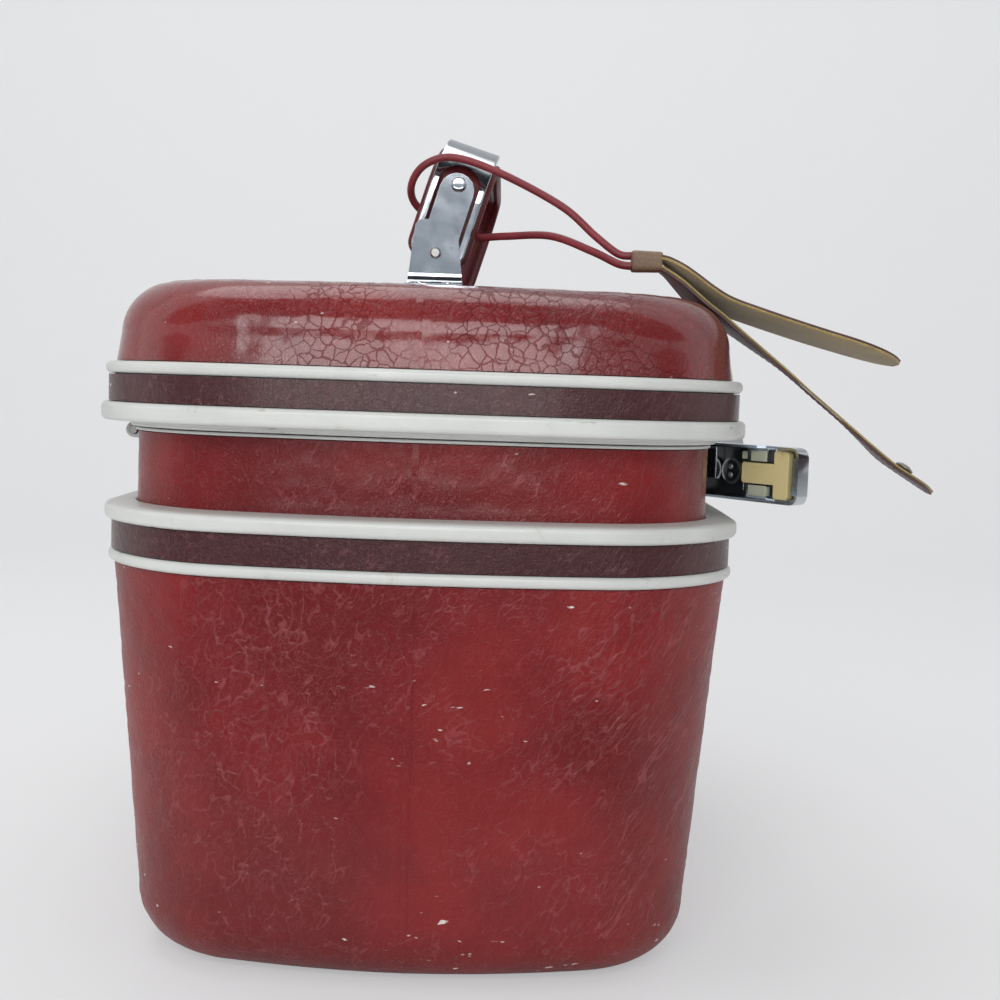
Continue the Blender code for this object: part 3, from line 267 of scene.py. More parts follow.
class CaseSizes(bpy.types.PropertyGroup):
    """Sizes of the case's surface detail."""

    crease_size: size_of("Crease size", "Width of the vinyl's crinkled cells", 6.5 * MM)
    crumple_depth: size_of("Crumple depth", "Depth of the vinyl's soft hollows", 0.35 * MM)
    crumple_size: size_of("Crumple size", "Width of the vinyl's soft hollows", 13 * MM)
    cord_diameter: size_of("Cord", "Diameter of the tag's cord", 3 * MM)
    stitch_spacing: size_of("Stitch spacing", "From one stitch to the next", 2.8 * MM)
    stitch_length: size_of("Stitch length", "Length of one stitch", 2.1 * MM)
    thread: size_of("Thread", "Diameter of the sewing thread", 0.6 * MM)
    edge: size_of("Metal edge", "Rounding of the pressed metal's edges", 0.3 * MM)


# Materials

# Kinds of nodes that most patterns are made of
NOISE = "ShaderNodeTexNoise"
RANGE = "ShaderNodeMapRange"
MATH = "ShaderNodeMath"
MIX = "ShaderNodeMix"
MAPPING = "ShaderNodeMapping"
PARTS = "ShaderNodeSeparateXYZ"

# The embossed vinyl's patterns
WRINKLE_LEAN = (0, math.radians(38), math.radians(45))
WRINKLE_STRETCH = (1, 1, 6)
AREA_SHIFT = (-70 * MM, 0, 0)
CLOUDS_PER_METRE = 15.0
FLECKS_PER_METRE = 330.0
RIDGES_PER_METRE = 620.0
PORES_PER_METRE = 900.0
PORE_DEPTH = 0.03 * MM
SCUFF_HEIGHTS = (12 * MM, 70 * MM)
# Pale pink added to the ridges' red: a painted highlight
RIDGE_HIGHLIGHT_TINT = (0.18, 0.07, 0.08)
CRACKLE_CENTRE_X = 24 * MM
CRACKLE_REACH = 55 * MM


def plug(tree, sockets, values):
    """Give each named or numbered socket its value, or its link to another socket."""
    for key, value in values.items():
        if isinstance(value, bpy.types.NodeSocket):
            tree.links.new(value, sockets[key])
        else:
            sockets[key].default_value = value


def add(tree, kind, inputs=(), **settings):
    """Add a node with its settings and give its outputs.

    The inputs are values or sockets, by name or number, or in the node's own order.
    """
    made = tree.nodes.new(kind)
    for key, value in settings.items():
        setattr(made, key, value)
    plug(tree, made.inputs, inputs if isinstance(inputs, dict) else dict(enumerate(inputs)))
    return made.outputs


def bend(tree, place, scale, reach):
    """Shift a texture's coordinates by noise, so that its lines wander."""
    warp = add(tree, NOISE, {"Vector": place, "Scale": scale, "Detail": 3.0})[1]
    return add(tree, "ShaderNodeVectorMath", (warp, (reach,) * 3, place), operation="MULTIPLY_ADD")[0]


def crack_net(tree, place, scale, width):
    """A net of thin creases: 0 in a crease and 1 on the cells between."""
    inputs = {"Vector": place, "Scale": scale}
    cells = add(tree, "ShaderNodeTexVoronoi", inputs, feature="DISTANCE_TO_EDGE")["Distance"]
    return add(tree, RANGE, (cells, 0.0, width), interpolation_type="SMOOTHSTEP")[0]


def lay(tree, pattern, levels, under, over):
    """Lay one colour over another as a pattern rises between its levels."""
    share = add(tree, RANGE, (pattern, *levels))[0]
    return add(tree, MIX, {0: share, 6: under, 7: over}, data_type="RGBA")[2]


def start_material(name):
    """A new material, its node tree and the object's own coordinates."""
    made = bpy.data.materials.new(name)
    made.use_nodes = True
    tree = made.node_tree
    return made, tree, add(tree, "ShaderNodeTexCoord")["Object"]


def finish(made, colour, roughness, height, depth, **plain):
    """Give a material's shader its colour, roughness, bump and plain values."""
    tree = made.node_tree
    bump = add(tree, "ShaderNodeBump", {"Strength": 0.7, "Distance": depth, "Height": height})[0]
    values = {"Base Color": colour, "Roughness": roughness, "Normal": bump}
    values.update({name.replace("_", " "): value for name, value in plain.items()})
    plug(tree, tree.nodes["Principled BSDF"].inputs, values)
    return made


def rgba(colour, shade=1.0):
    """A colour for a socket, darkened or brightened by shade."""
    return (colour[0] * shade, colour[1] * shade, colour[2] * shade, 1.0)


def wrinkle_ridges(tree, place, bent, cell):
    """Three sets of fine ridges: long and leaning, short and leaning, and wandering."""
    wavy = bend(tree, place, 0.22 / cell, 1.5 * cell)
    inputs = {"Vector": wavy, "Scale": WRINKLE_STRETCH, "Rotation": WRINKLE_LEAN}
    leaning = add(tree, MAPPING, inputs, vector_type="TEXTURE")[0]
    ridges = []
    for lie, scale, width, rise in (
        (leaning, 1 / cell, 0.025, 1.5),
        (leaning, 2.6 / cell, 0.07, 0.6),
        (bent, RIDGES_PER_METRE, 0.06, 0.5),
    ):
        line = add(tree, NOISE, {"Vector": lie, "Scale": scale})[0]
        line = add(tree, MATH, (line, 0.5), operation="SUBTRACT")[0]
        line = add(tree, MATH, (line,), operation="ABSOLUTE")[0]
        ridges.append(add(tree, RANGE, (line, 0.0, width, rise, 0.0), interpolation_type="SMOOTHSTEP")[0])
    return ridges


def open_creases(tree, place, bent, area, cell, crackle, patch):
    """How far the crackle has opened at each point, and its creases."""
    opened = add(tree, "ShaderNodeSeparateColor", (area,))[1]
    opened = add(tree, RANGE, (opened, 0.36, 0.52, 0.15 * crackle, crackle))[0]
    if patch:
        centre, reach = patch
        away = add(tree, PARTS, (place,))["X"]
        away = add(tree, MATH, (away, centre), operation="SUBTRACT")[0]
        away = add(tree, MATH, (away,), operation="ABSOLUTE")[0]
        away = add(tree, RANGE, (away, reach, 1.6 * reach, 1.0, 0.1))[0]
        opened = add(tree, MATH, (opened, away), operation="MULTIPLY")[0]
    crease = add(tree, MATH, (1.0, crack_net(tree, bent, 1 / cell, 0.075)), operation="SUBTRACT")[0]
    return opened, add(tree, MATH, (crease, opened), operation="MULTIPLY")[0]


def pale_flecks(tree, place, clouds, low_share):
    """A pattern for where the red film is scuffed through: short flat flecks, more near the foot."""
    up = add(tree, PARTS, (place,))["Z"]
    low = add(tree, RANGE, (up, *SCUFF_HEIGHTS, low_share, 0.0))[0]
    lying = add(tree, MAPPING, {"Vector": place, "Scale": (0.4, 0.4, 1)})[0]
    flecks = add(tree, NOISE, {"Vector": lying, "Scale": FLECKS_PER_METRE, "Roughness": 0.6})[0]
    flecks = add(tree, MATH, (flecks, low), operation="ADD")[0]
    return add(tree, MATH, (clouds, 0.25, flecks), operation="MULTIPLY_ADD")[0]


def crinkled_vinyl(
    name, deep, bright, cell, roughness, crackle, wrinkle, depth, scuff_low=0.0, gloss=0.12, patch=None
):
    """Embossed PVC over board: glossy, wrinkled on a slant, with crackle and flecks, painted shade in its
    creases and painted highlights on its ridges.
    """
    made, tree, place = start_material(name)
    bent = bend(tree, bend(tree, place, 0.4 / cell, 1.4 * cell), 1.3 / cell, 0.5 * cell)
    # Worked areas hold more wrinkles, and open ones more crackle
    shifted = add(tree, MAPPING, {"Vector": place, "Location": AREA_SHIFT})[0]
    area = add(tree, NOISE, {"Vector": shifted, "Scale": 0.13 / cell})
    worked = add(tree, RANGE, (area[0], 0.4, 0.6, 0.2, 1.0))[0]
    ridges = wrinkle_ridges(tree, place, bent, cell)
    leaning = add(tree, MATH, ridges[:2], operation="ADD")[0]
    leaning = add(tree, MATH, (leaning, worked), operation="MULTIPLY")[0]
    opened, crease = open_creases(tree, place, bent, area[1], cell, crackle, patch)

    # The relief: ridges and pores, less the creases, with swollen cells between them
    pores = add(tree, NOISE, {"Vector": place, "Scale": PORES_PER_METRE, "Detail": 3.0})[0]
    height = add(tree, MATH, (pores, PORE_DEPTH / depth), operation="MULTIPLY")[0]
    raised = add(tree, MATH, (leaning, ridges[2]), operation="ADD")[0]
    height = add(tree, MATH, (raised, wrinkle, height), operation="MULTIPLY_ADD")[0]
    sunk = add(tree, MATH, (crease, 0.7), operation="MULTIPLY")[0]
    height = add(tree, MATH, (height, sunk), operation="SUBTRACT")[0]
    swollen = add(tree, MATH, (crack_net(tree, bent, 1 / cell, 0.45), opened), operation="MULTIPLY")[0]
    height = add(tree, MATH, (swollen, 0.9, height), operation="MULTIPLY_ADD")[0]
    small = crack_net(tree, bent, 2.7 / cell, 0.25)
    height = add(tree, MATH, (small, 0.2, height), operation="MULTIPLY_ADD")[0]

    # The colour: two reds in clouds, painted shade in the creases, and a painted pale pink highlight on the
    # ridges
    inputs = {"Vector": place, "Scale": CLOUDS_PER_METRE, "Detail": 3.0, "Roughness": 0.55}
    clouds = add(tree, NOISE, inputs)[0]
    body = lay(tree, clouds, (0.42, 0.66), rgba(deep), rgba(bright))
    # Painted shade: the creases are darkened towards a dark copy of the deep red
    share = add(tree, MATH, (crease, 0.35), operation="MULTIPLY")[0]
    body = add(tree, MIX, {0: share, 6: body, 7: rgba(deep, 0.35)}, data_type="RGBA")[2]
    # Painted highlight: the ridges are laid over with pale pink, where they would catch the light
    rubbed = add(tree, MATH, (ridges[2], 0.3, leaning), operation="MULTIPLY_ADD")[0]
    pink = rgba([0.6 * c + more for c, more in zip(bright, RIDGE_HIGHLIGHT_TINT)])
    body = lay(tree, rubbed, (0.15, 1.3, 0.0, 0.42 * wrinkle), body, pink)
    flecks = pale_flecks(tree, place, clouds, scuff_low)
    body = lay(tree, flecks, (0.875, 0.92), body, rgba(linear("#d9cdc8")))
    rough = add(tree, RANGE, (clouds, 0.3, 0.7, roughness - 0.05, roughness + 0.09))[0]
    return finish(
        made, body, rough, height, depth, Coat_Roughness=roughness * 0.5,
        Coat_Weight=add(tree, RANGE, (crease, 0.0, 0.5, gloss, 0.35 * gloss))[0],
        Specular_IOR_Level=add(tree, RANGE, (crease, 0.0, 0.5, 0.32, 0.18))[0],
    )


def moulded_plastic(name, colour, roughness=0.4, stain="#a39885"):
    """Moulded PVC, nylon or phenolic: satin, faintly mottled, with warm stains and fine scratches."""
    made, tree, place = start_material(name)
    mottle = add(tree, NOISE, {"Vector": place, "Scale": 35.0, "Detail": 5.0})[0]
    body = lay(tree, mottle, (0.35, 0.7), rgba(colour, 0.93), rgba(colour, 1.04))
    spots = add(tree, NOISE, {"Vector": place, "Scale": 110.0, "Detail": 6.0, "Roughness": 0.7})[0]
    body = lay(tree, spots, (0.62, 0.78), body, rgba(linear(stain)))
    lying = add(tree, MAPPING, {"Vector": place, "Scale": (0.3, 0.3, 1)})[0]
    marks = add(tree, NOISE, {"Vector": lying, "Scale": 240.0, "Detail": 3.0, "Roughness": 0.6})[0]
    body = lay(tree, marks, (0.68, 0.78, 0.0, 0.7), body, rgba(colour, 0.3))
    rough = add(tree, RANGE, (spots, 0.0, 1.0, roughness - 0.1, roughness + 0.14))[0]
    grain = add(tree, NOISE, {"Vector": place, "Scale": 260.0})[0]
    return finish(made, body, rough, grain, 0.04 * MM)


def worn_metal(name, colour, low, high, depth=0.008 * MM):
    """Plated or polished metal: mirror-like patches between smudges, with fine handling scratches."""
    made, tree, place = start_material(name)
    smudge = add(tree, NOISE, {"Vector": place, "Scale": 130.0, "Detail": 4.0, "Roughness": 0.6})[0]
    body = lay(tree, smudge, (0.66, 0.78), rgba(colour), rgba(colour, 0.6))
    stretched = add(tree, MAPPING, {"Vector": place, "Scale": (1, 1, 0.08)})[0]
    scratches = add(tree, NOISE, {"Vector": stretched, "Scale": 1500.0})[0]
    rough = add(tree, RANGE, (smudge, 0.3, 0.7, low, high))[0]
    return finish(made, body, rough, scratches, depth, Metallic=1.0)


def grained_leather(name, colour, roughness, grain=1.1 * MM, depth=0.1 * MM, sheen=0.0):
    """Dyed leather: fine pebbled grain, rubbed paler in patches; sheen gives a napped face."""
    made, tree, place = start_material(name)
    pebbles = crack_net(tree, bend(tree, place, 0.8 / grain, grain), 1 / grain, 0.25)
    cloud = add(tree, NOISE, {"Vector": place, "Scale": 70.0, "Detail": 4.0})[0]
    body = lay(tree, cloud, (0.35, 0.7), rgba(colour, 0.78), rgba(colour, 1.25))
    # Painted shade: the grain's creases are darkened to half the colour
    body = lay(tree, pebbles, (0.0, 1.0, 0.35), rgba(colour, 0.5), body)
    rough = add(tree, RANGE, (cloud, 0.0, 1.0, roughness - 0.1, roughness + 0.15))[0]
    return finish(made, body, rough, pebbles, depth, Sheen_Weight=sheen)


def woven_cloth(name, colour, thread=1.3 * MM):
    """Plain-woven rayon lining; the threads are drawn about three times as coarse, so that they show."""
    made, tree, place = start_material(name)
    waves = []
    for turn in ((0, 0, math.pi / 4), (0, 0, -math.pi / 4), (0, math.pi / 2, 0)):
        inputs = {"Scale": 0.314 / thread, "Distortion": 0.4, "Detail": 1.0, "Detail Scale": 2.0}
        inputs["Vector"] = add(tree, MAPPING, {"Vector": place, "Rotation": turn})[0]
        waves.append(add(tree, "ShaderNodeTexWave", inputs)["Fac"])
    weave = add(tree, MATH, waves[:2], operation="MAXIMUM")[0]
    weave = add(tree, MATH, (weave, waves[2]), operation="MULTIPLY")[0]
    body = add(tree, MIX, {0: weave, 6: rgba(colour, 0.7), 7: rgba(colour, 1.08)}, data_type="RGBA")[2]
    return finish(made, body, 0.75, weave, 0.1 * MM, Sheen_Weight=0.3)


def silvered_glass(name):
    """Mirror: bright and sharp, with a faint haze of dust."""
    made, tree, place = start_material(name)
    dust = add(tree, NOISE, {"Vector": place, "Scale": 60.0, "Detail": 6.0})[0]
    rough = add(tree, RANGE, (dust, 0.5, 0.8, 0.02, 0.16))[0]
    return finish(made, rgba(linear("#dfe5e6")), rough, dust, 0.001 * MM, Metallic=1.0)


MATERIALS = {}


def look(key):
    """A finish of the case by its short name; the first call makes them all."""
    if not MATERIALS:
        colours = bpy.context.scene.train_case_colours
        cell = bpy.context.scene.train_case_sizes.crease_size
        vinyl, bright, band = colours.vinyl, colours.vinyl_bright, colours.band
        MATERIALS.update(
            base=crinkled_vinyl(
                "crinkled red vinyl base", vinyl, bright, cell, 0.34, 0.12, 1.0, 0.3 * MM, scuff_low=0.05
            ),
            lid=crinkled_vinyl(
                "crinkled red vinyl lid", vinyl, bright, cell * 0.66, 0.25, 1.0, 0.6, 0.45 * MM, gloss=0.85,
                patch=(CRACKLE_CENTRE_X, CRACKLE_REACH),
            ),
            collar=crinkled_vinyl(
                "crinkled red vinyl collar", vinyl, bright, cell * 0.8, 0.28, 0.1, 1.3, 0.32 * MM, gloss=0.3
            ),
            band=crinkled_vinyl(
                "dark maroon vinyl strip", band, band, cell * 0.7, 0.3, 0.2, 0.8, 0.3 * MM, gloss=0.35
            ),
            rail=moulded_plastic("pale grey moulded PVC", colours.rail, 0.3),
            chrome=worn_metal("polished chrome plate", linear("#c6cbd1"), 0.1, 0.17, 0.003 * MM),
            steel=worn_metal("nickel-plated steel", linear("#a9a7a3"), 0.25, 0.45),
            nylon=moulded_plastic("aged cream nylon", colours.nylon, 0.45, "#dcb060"),
            pale=moulded_plastic("pale translucent nylon", linear("#cfd3bd"), 0.35, "#8f8a5a"),
            black=moulded_plastic("black moulded phenolic", linear("#16191b"), 0.3, "#3a3f3a"),
            mirror=silvered_glass("silvered mirror glass"),
            lining=woven_cloth("woven rayon lining", colours.lining),
            grip=grained_leather("burgundy grip leather", colours.grip, 0.38, 0.8 * MM, 0.07 * MM),
            cord=grained_leather("burgundy leather cord", linear("#8a3139"), 0.42, 0.7 * MM, 0.03 * MM),
            suede=grained_leather("olive tan suede", colours.suede, 0.9, 0.9 * MM, 0.06 * MM, sheen=0.35),
            tag=grained_leather("smooth brown tag leather", colours.tag, 0.42, 1.2 * MM, 0.04 * MM),
            fold=grained_leather("brown folded strap", linear("#8a7058"), 0.5, 1.2 * MM, 0.06 * MM),
            thread=grained_leather("waxed maroon thread", linear("#4f1a1f"), 0.5, 0.6 * MM, 0.03 * MM),
        )
    return MATERIALS[key]


# Shapes


def mesh_object(name, shape, material, smooth_deg=40):
    """Turn a finished bmesh into an object at the origin, its faces pointing out."""
    bmesh.ops.recalc_face_normals(shape, faces=shape.faces)
    if shape.calc_volume(signed=True) < 0:
        bmesh.ops.reverse_faces(shape, faces=shape.faces)
    mesh = bpy.data.meshes.new(name)
    shape.to_mesh(mesh)
    shape.free()
    mesh.shade_smooth()
    mesh.set_sharp_from_angle(angle=math.radians(smooth_deg))
    mesh.materials.append(look(material))
    return link(name, mesh)


def make_plain(piece):
    """Replace a piece's mesh by what its modifiers give, and drop the modifiers."""
    bpy.context.view_layer.update()
    graph = bpy.context.evaluated_depsgraph_get()
    mesh = bpy.data.meshes.new_from_object(piece.evaluated_get(graph))
    piece.modifiers.clear()
    old = piece.data
    piece.data = mesh
    bpy.data.meshes.remove(old)
    mesh.name = piece.name
    return piece


def settle(piece, body, nodes=()):
    """Let a piece ride on its body and stand for the nodes that it replaces."""
    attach(piece, body)
    if nodes:
        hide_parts(*nodes)
    return piece


def plan_outline(inset, counts):
    """Points of the case's bowed, round-cornered plan, inset from the widest rail."""
    side_steps, corner_steps, end_steps = counts
    half_x = HALF_X - inset
    half_y = HALF_Y - inset
    radius = max(CORNER_RADIUS - inset, half_x * MIN_CORNER_SHARE)
    quarter = []
    for step in range(side_steps):
        quarter.append((half_x, (half_y - radius) * step / side_steps))
    for step in range(corner_steps + 1):
        turn = math.pi / 2 * step / corner_steps
        x = half_x - radius + radius * math.cos(turn)
        quarter.append((x, half_y - radius + radius * math.sin(turn)))
    for step in range(1, end_steps):
        quarter.append(((half_x - radius) * (1 - step / end_steps), half_y))
    bowed = []
    for x, y in quarter:
        along = y / half_y
        across = x / half_x
        bowed.append((x - SIDE_BOW * along * along * along, y - END_BOW * across * across * along))
    points = list(bowed)
    points.append((0, half_y))
    points += [(-x, y) for x, y in reversed(bowed)][:-1]
    points += [(-x, -y) for x, y in bowed]
    points.append((0, -half_y))
    points += [(x, -y) for x, y in reversed(bowed)][:-1]
    return points


def loft(rings, closed=False):
    """Skin a list of rings; the ends are capped unless the loft closes on itself."""
    made = bmesh.new()
    rows = [[made.verts.new(point) for point in ring] for ring in rings]
    count = len(rings[0])
    last = len(rows) if closed else len(rows) - 1
    for row in range(last):
        lower = rows[row]
        upper = rows[(row + 1) % len(rows)]
        for i in range(count):
            j = (i + 1) % count
            made.faces.new((lower[i], lower[j], upper[j], upper[i]))
    if not closed:
        made.faces.new(rows[0])
        made.faces.new(list(reversed(rows[-1])))
    return made


def plan_solid(profile, counts, closed=True):
    """A solid round the case's plan, from a profile of insets and heights."""
    rings = [[Vector((x, y, z)) for x, y in plan_outline(inset, counts)] for inset, z in profile]
    return loft(rings, closed)


def finer(line, step):
    """Add points along a line, so that none are further apart than step."""
    made = [line[0]]
    for (x0, z0), (x1, z1) in zip(line, line[1:]):
        parts = max(1, math.ceil(math.hypot(x1 - x0, z1 - z0) / step))
        for i in range(1, parts + 1):
            made.append((x0 + (x1 - x0) * i / parts, z0 + (z1 - z0) * i / parts))
    return made


def rounded(profile, radius):
    """Round every corner of a closed profile, as far as its sides allow."""
    made = []
    count = len(profile)
    for i in range(count):
        corner = Vector(profile[i])
        before = Vector(profile[i - 1]) - corner
        after = Vector(profile[(i + 1) % count]) - corner
        reach = min(radius, before.length * 0.45, after.length * 0.45)
        start = corner + before.normalized() * reach
        end = corner + after.normalized() * reach
        for step in range(EDGE_STEPS + 1):
            t = step / EDGE_STEPS
            point = start * (1 - t) * (1 - t) + corner * 2 * t * (1 - t) + end * t * t
            made.append((point.x, point.y))
    return made


def foot_line(top_z, top_inset, foot_inset, radius, centre_z, steps):
    """A side line from the flat of the foot, round its radius and up to the rim."""
    centre = foot_inset + radius
    line = []
    for step in range(steps + 1):
        turn = math.pi / 2 * step / steps
        line.append((centre - radius * math.sin(turn), centre_z - radius * math.cos(turn)))
    line.append((top_inset, top_z))
    return line


def dome_line(inset, bottom_z, top_z, radius, steps, crown_steps):
    """Side wall, shoulder and gently crowned top of the lid, out to its middle."""
    wall_top = top_z - LID_CROWN - radius
    line = [(inset, bottom_z), (inset + LID_DRAFT, wall_top)]
    shoulder = inset + LID_DRAFT + radius
    for step in range(1, steps + 1):
        turn = math.pi / 2 * step / steps
        line.append((shoulder - radius * math.cos(turn), wall_top + radius * math.sin(turn)))
    for step in range(1, crown_steps + 1):
        share = CROWN_REACH * step / crown_steps
        line.append((shoulder + (HALF_X - shoulder) * share, top_z - LID_CROWN * (1 - share) ** 2))
    return line


def crumple(shape, depth, size, fade):
    """Press soft hollows and creases into a shape's outside; fade says how much at each point."""
    # Without a seed, noise_vector starts from the clock
    noise.seed_set(CRUMPLE_SEED)
    shape.normal_update()
    bmesh.ops.recalc_face_normals(shape, faces=shape.faces)
    shape.normal_update()
    moves = []
    for vertex in shape.verts:
        share = fade(vertex.co)
        if share <= 0:
            continue
        place = vertex.co / size
        place = place + noise.noise_vector(place * 0.6) * 0.9
        near = noise.voronoi(place)[0]
        crease = 1 - min(1.0, (near[1] - near[0]) / CREASE_WIDTH)
        swell = 0.5 + 0.5 * noise.fractal(place * 0.8, 1.0, 2.0, 3)
        hollow = CREASE_SHARE * crease + (1 - CREASE_SHARE) * swell
        moves.append((vertex, -vertex.normal * depth * share * hollow))
    for vertex, move in moves:
        vertex.co += move
    return shape


def ramp(value, start, end):
    """0 before start, 1 after end and even between."""
    return max(0.0, min(1.0, (value - start) / (end - start)))


def cut_away(piece, cutter):
    """Cut one piece out of another and drop it."""
    cut = piece.modifiers.new("cut", "BOOLEAN")
    cut.object = cutter
    cut.solver = "EXACT"
    make_plain(piece)
    bpy.data.objects.remove(cutter, do_unlink=True)


def handle_window(side, reach, material):
    """The long window of a handle leg, from its outer face inwards by reach."""
    outline = []
    radius = WINDOW_WIDTH / 2
    for centre, first in ((WINDOW_HEIGHT - radius, 0), (0, 1)):
        for step in range(SLOT_STEPS + 1):
            turn = math.pi * (first + step / SLOT_STEPS)
            outline.append((radius * math.cos(turn), centre + radius * math.sin(turn)))
    low = HANDLE_LENGTH / 2 - reach
    slot = []
    for depth in (low, low + 2 * reach):
        slot.append([HANDLE_LEAN @ Vector((u, side * depth, v)) for u, v in outline])
    return mesh_object("handle_window", loft(slot), material)


def round_edges(piece, width, segments):
    """Round a piece's hard edges and shade it evenly."""
    bevel = piece.modifiers.new("edge", "BEVEL")
    bevel.width = width
    bevel.segments = segments
    bevel.limit_method = "ANGLE"
    bevel.angle_limit = math.radians(HARD_DEG)
    piece.modifiers.new("even", "WEIGHTED_NORMAL").keep_sharp = True
    return make_plain(piece)


def softened(name, node, material, width, segments=2, cutter=None):
    """A copy of a CAD node, cut where asked, with its hard edges rounded."""
    shape = bmesh.new()
    shape.from_mesh(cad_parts[node].data)
    bmesh.ops.remove_doubles(shape, verts=shape.verts, dist=MERGE_DISTANCE)
    bmesh.ops.dissolve_limit(
        shape, angle_limit=math.radians(FLAT_DEG), use_dissolve_boundaries=False,
        verts=shape.verts, edges=shape.edges,
    )
    made = mesh_object(name, shape, material, smooth_deg=180)
    if cutter:
        cut_away(made, cutter)
    return round_edges(made, width, segments)


def smooth_line(points, spacing=None):
    """A smooth curve through chosen points, read at an even spacing, or at even steps without one."""
    fine = []
    count = len(points)
    for i in range(count - 1):
        p0 = points[max(i - 1, 0)]
        p1 = points[i]
        p2 = points[i + 1]
        p3 = points[min(i + 2, count - 1)]
        steps = CURVE_STEPS if spacing else LEAF_STEPS
        for step in range(steps):
            t = step / steps
            sway = 2 * p0 - 5 * p1 + 4 * p2 - p3
            pull = (p2 - p0) * t + sway * t * t + (3 * p1 - p0 - 3 * p2 + p3) * t * t * t
            fine.append(p1 + pull / 2)
    fine.append(points[-1])
    if not spacing:
        return fine
    length = sum(lengths(fine))
    pieces = max(2, round(length / spacing))
    target = length / pieces
    line = [fine[0]]
    walked = 0
    for i, span in enumerate(lengths(fine)):
        while len(line) < pieces and walked + span >= target * len(line):
            line.append(fine[i].lerp(fine[i + 1], (target * len(line) - walked) / span))
        walked += span
    line.append(fine[-1])
    return line


def rounded_rectangle(half_u, half_v, radius, steps):
    """Points round a rectangle with rounded corners."""
    corners = ((1, 1, 0), (-1, 1, 1), (-1, -1, 2), (1, -1, 3))
    points = []
    for side_u, side_v, quarter in corners:
        for step in range(steps + 1):
            turn = math.pi / 2 * (quarter + step / steps)
            u = side_u * (half_u - radius) + radius * math.cos(turn)
            v = side_v * (half_v - radius) + radius * math.sin(turn)
            points.append((u, v))
    return points


def box(low, high):
    """A plain block between two corners."""
    (x0, y0, z0), (x1, y1, z1) = low, high
    plan = ((x0, y0), (x1, y0), (x1, y1), (x0, y1))
    return loft([[Vector((x, y, z)) for x, y in plan] for z in (z0, z1)])


def circle(radius, steps):
    """Points round a circle."""
    turns = [math.tau * step / steps for step in range(steps)]
    return [(radius * math.cos(turn), radius * math.sin(turn)) for turn in turns]


def lengths(line):
    """The lengths of a line's pieces."""
    return [(b - a).length for a, b in zip(line, line[1:])]


def link(name, data):
    """A new object in the scene that holds this data."""
    made = bpy.data.objects.new(name, data)
    bpy.context.collection.objects.link(made)
    return made


def set_inputs(modifier, **values):
    """Set a node tree's named inputs by their identifiers; underscores stand for spaces."""
    for item in modifier.node_group.interface.items_tree:
        key = item.name.replace(" ", "_")
        if item.item_type == "SOCKET" and item.in_out == "INPUT" and key in values:
            modifier[item.identifier] = values[key]


def start_tree(name, sockets):
    """A node tree for a modifier, with a geometry in and out and the named inputs between."""
    tree = bpy.data.node_groups.new(name, "GeometryNodeTree")
    tree.interface.new_socket("Geometry", in_out="INPUT", socket_type="NodeSocketGeometry")
    for label, kind in sockets:
        tree.interface.new_socket(label, in_out="INPUT", socket_type=kind)
    tree.interface.new_socket("Geometry", in_out="OUTPUT", socket_type="NodeSocketGeometry")
    return tree, add(tree, "NodeGroupInput")


def end_tree(tree, instances, material):
    """Realise the instances and give them their material."""
    real = add(tree, "GeometryNodeRealizeInstances", (instances,))[0]
    dressed = add(tree, "GeometryNodeSetMaterial", {"Geometry": real, "Material": material})[0]
    add(tree, "NodeGroupOutput", (dressed,))


def stitch_tree():
    """Rows of stitches: one small rounded thread at every step along the given lines."""
    tree, inputs = start_tree(
        "stitch rows",
        (
            ("Spacing", "NodeSocketFloat"),
            ("Stitch length", "NodeSocketFloat"),
            ("Thread radius", "NodeSocketFloat"),
            ("Thread", "NodeSocketMaterial"),
        ),
    )
    line = add(tree, "GeometryNodeMeshToCurve", {"Mesh": inputs["Geometry"]})[0]
    spacing = {"Curve": line, "Length": inputs["Spacing"]}
    even = add(tree, "GeometryNodeResampleCurve", spacing, mode="LENGTH")[0]
    bead = add(tree, "GeometryNodeMeshUVSphere", {"Segments": 8, "Rings": 5, "Radius": 1.0})[0]
    tangent = add(tree, "GeometryNodeInputTangent")[0]
    turn = add(tree, "FunctionNodeAlignRotationToVector", {"Vector": tangent}, axis="X")[0]
    half = add(tree, MATH, (inputs["Stitch length"], 0.5), operation="MULTIPLY")[0]
    thick = inputs["Thread radius"]
    size = add(tree, "ShaderNodeCombineXYZ", (half, thick, thick))[0]
    placing = {"Points": even, "Instance": bead, "Rotation": turn, "Scale": size}
    placed = add(tree, "GeometryNodeInstanceOnPoints", placing)[0]
    end_tree(tree, placed, inputs["Thread"])
    return tree


def screw_tree():
    """A screw head on every given point, along one axis, each turned by chance."""
    tree, inputs = start_tree(
        "screw heads",
        (
            ("Head", "NodeSocketObject"),
            ("Axis", "NodeSocketVector"),
            ("Seed", "NodeSocketInt"),
            ("Metal", "NodeSocketMaterial"),
        ),
    )
    head = add(tree, "GeometryNodeObjectInfo", {"Object": inputs["Head"]})["Geometry"]
    along = add(tree, "FunctionNodeAlignRotationToVector", {"Vector": inputs["Axis"]}, axis="Z")[0]
    limits = {2: 0.0, 3: math.tau, "Seed": inputs["Seed"]}
    chance = add(tree, "FunctionNodeRandomValue", limits, data_type="FLOAT")[1]
    spin = add(tree, "FunctionNodeAxisAngleToRotation", {"Axis": (0, 0, 1), "Angle": chance})[0]
    turn = add(tree, "FunctionNodeRotateRotation", (along, spin), rotation_space="LOCAL")[0]
    placing = {"Points": inputs["Geometry"], "Instance": head, "Rotation": turn}
    placed = add(tree, "GeometryNodeInstanceOnPoints", placing)[0]
    end_tree(tree, placed, inputs["Metal"])
    return tree


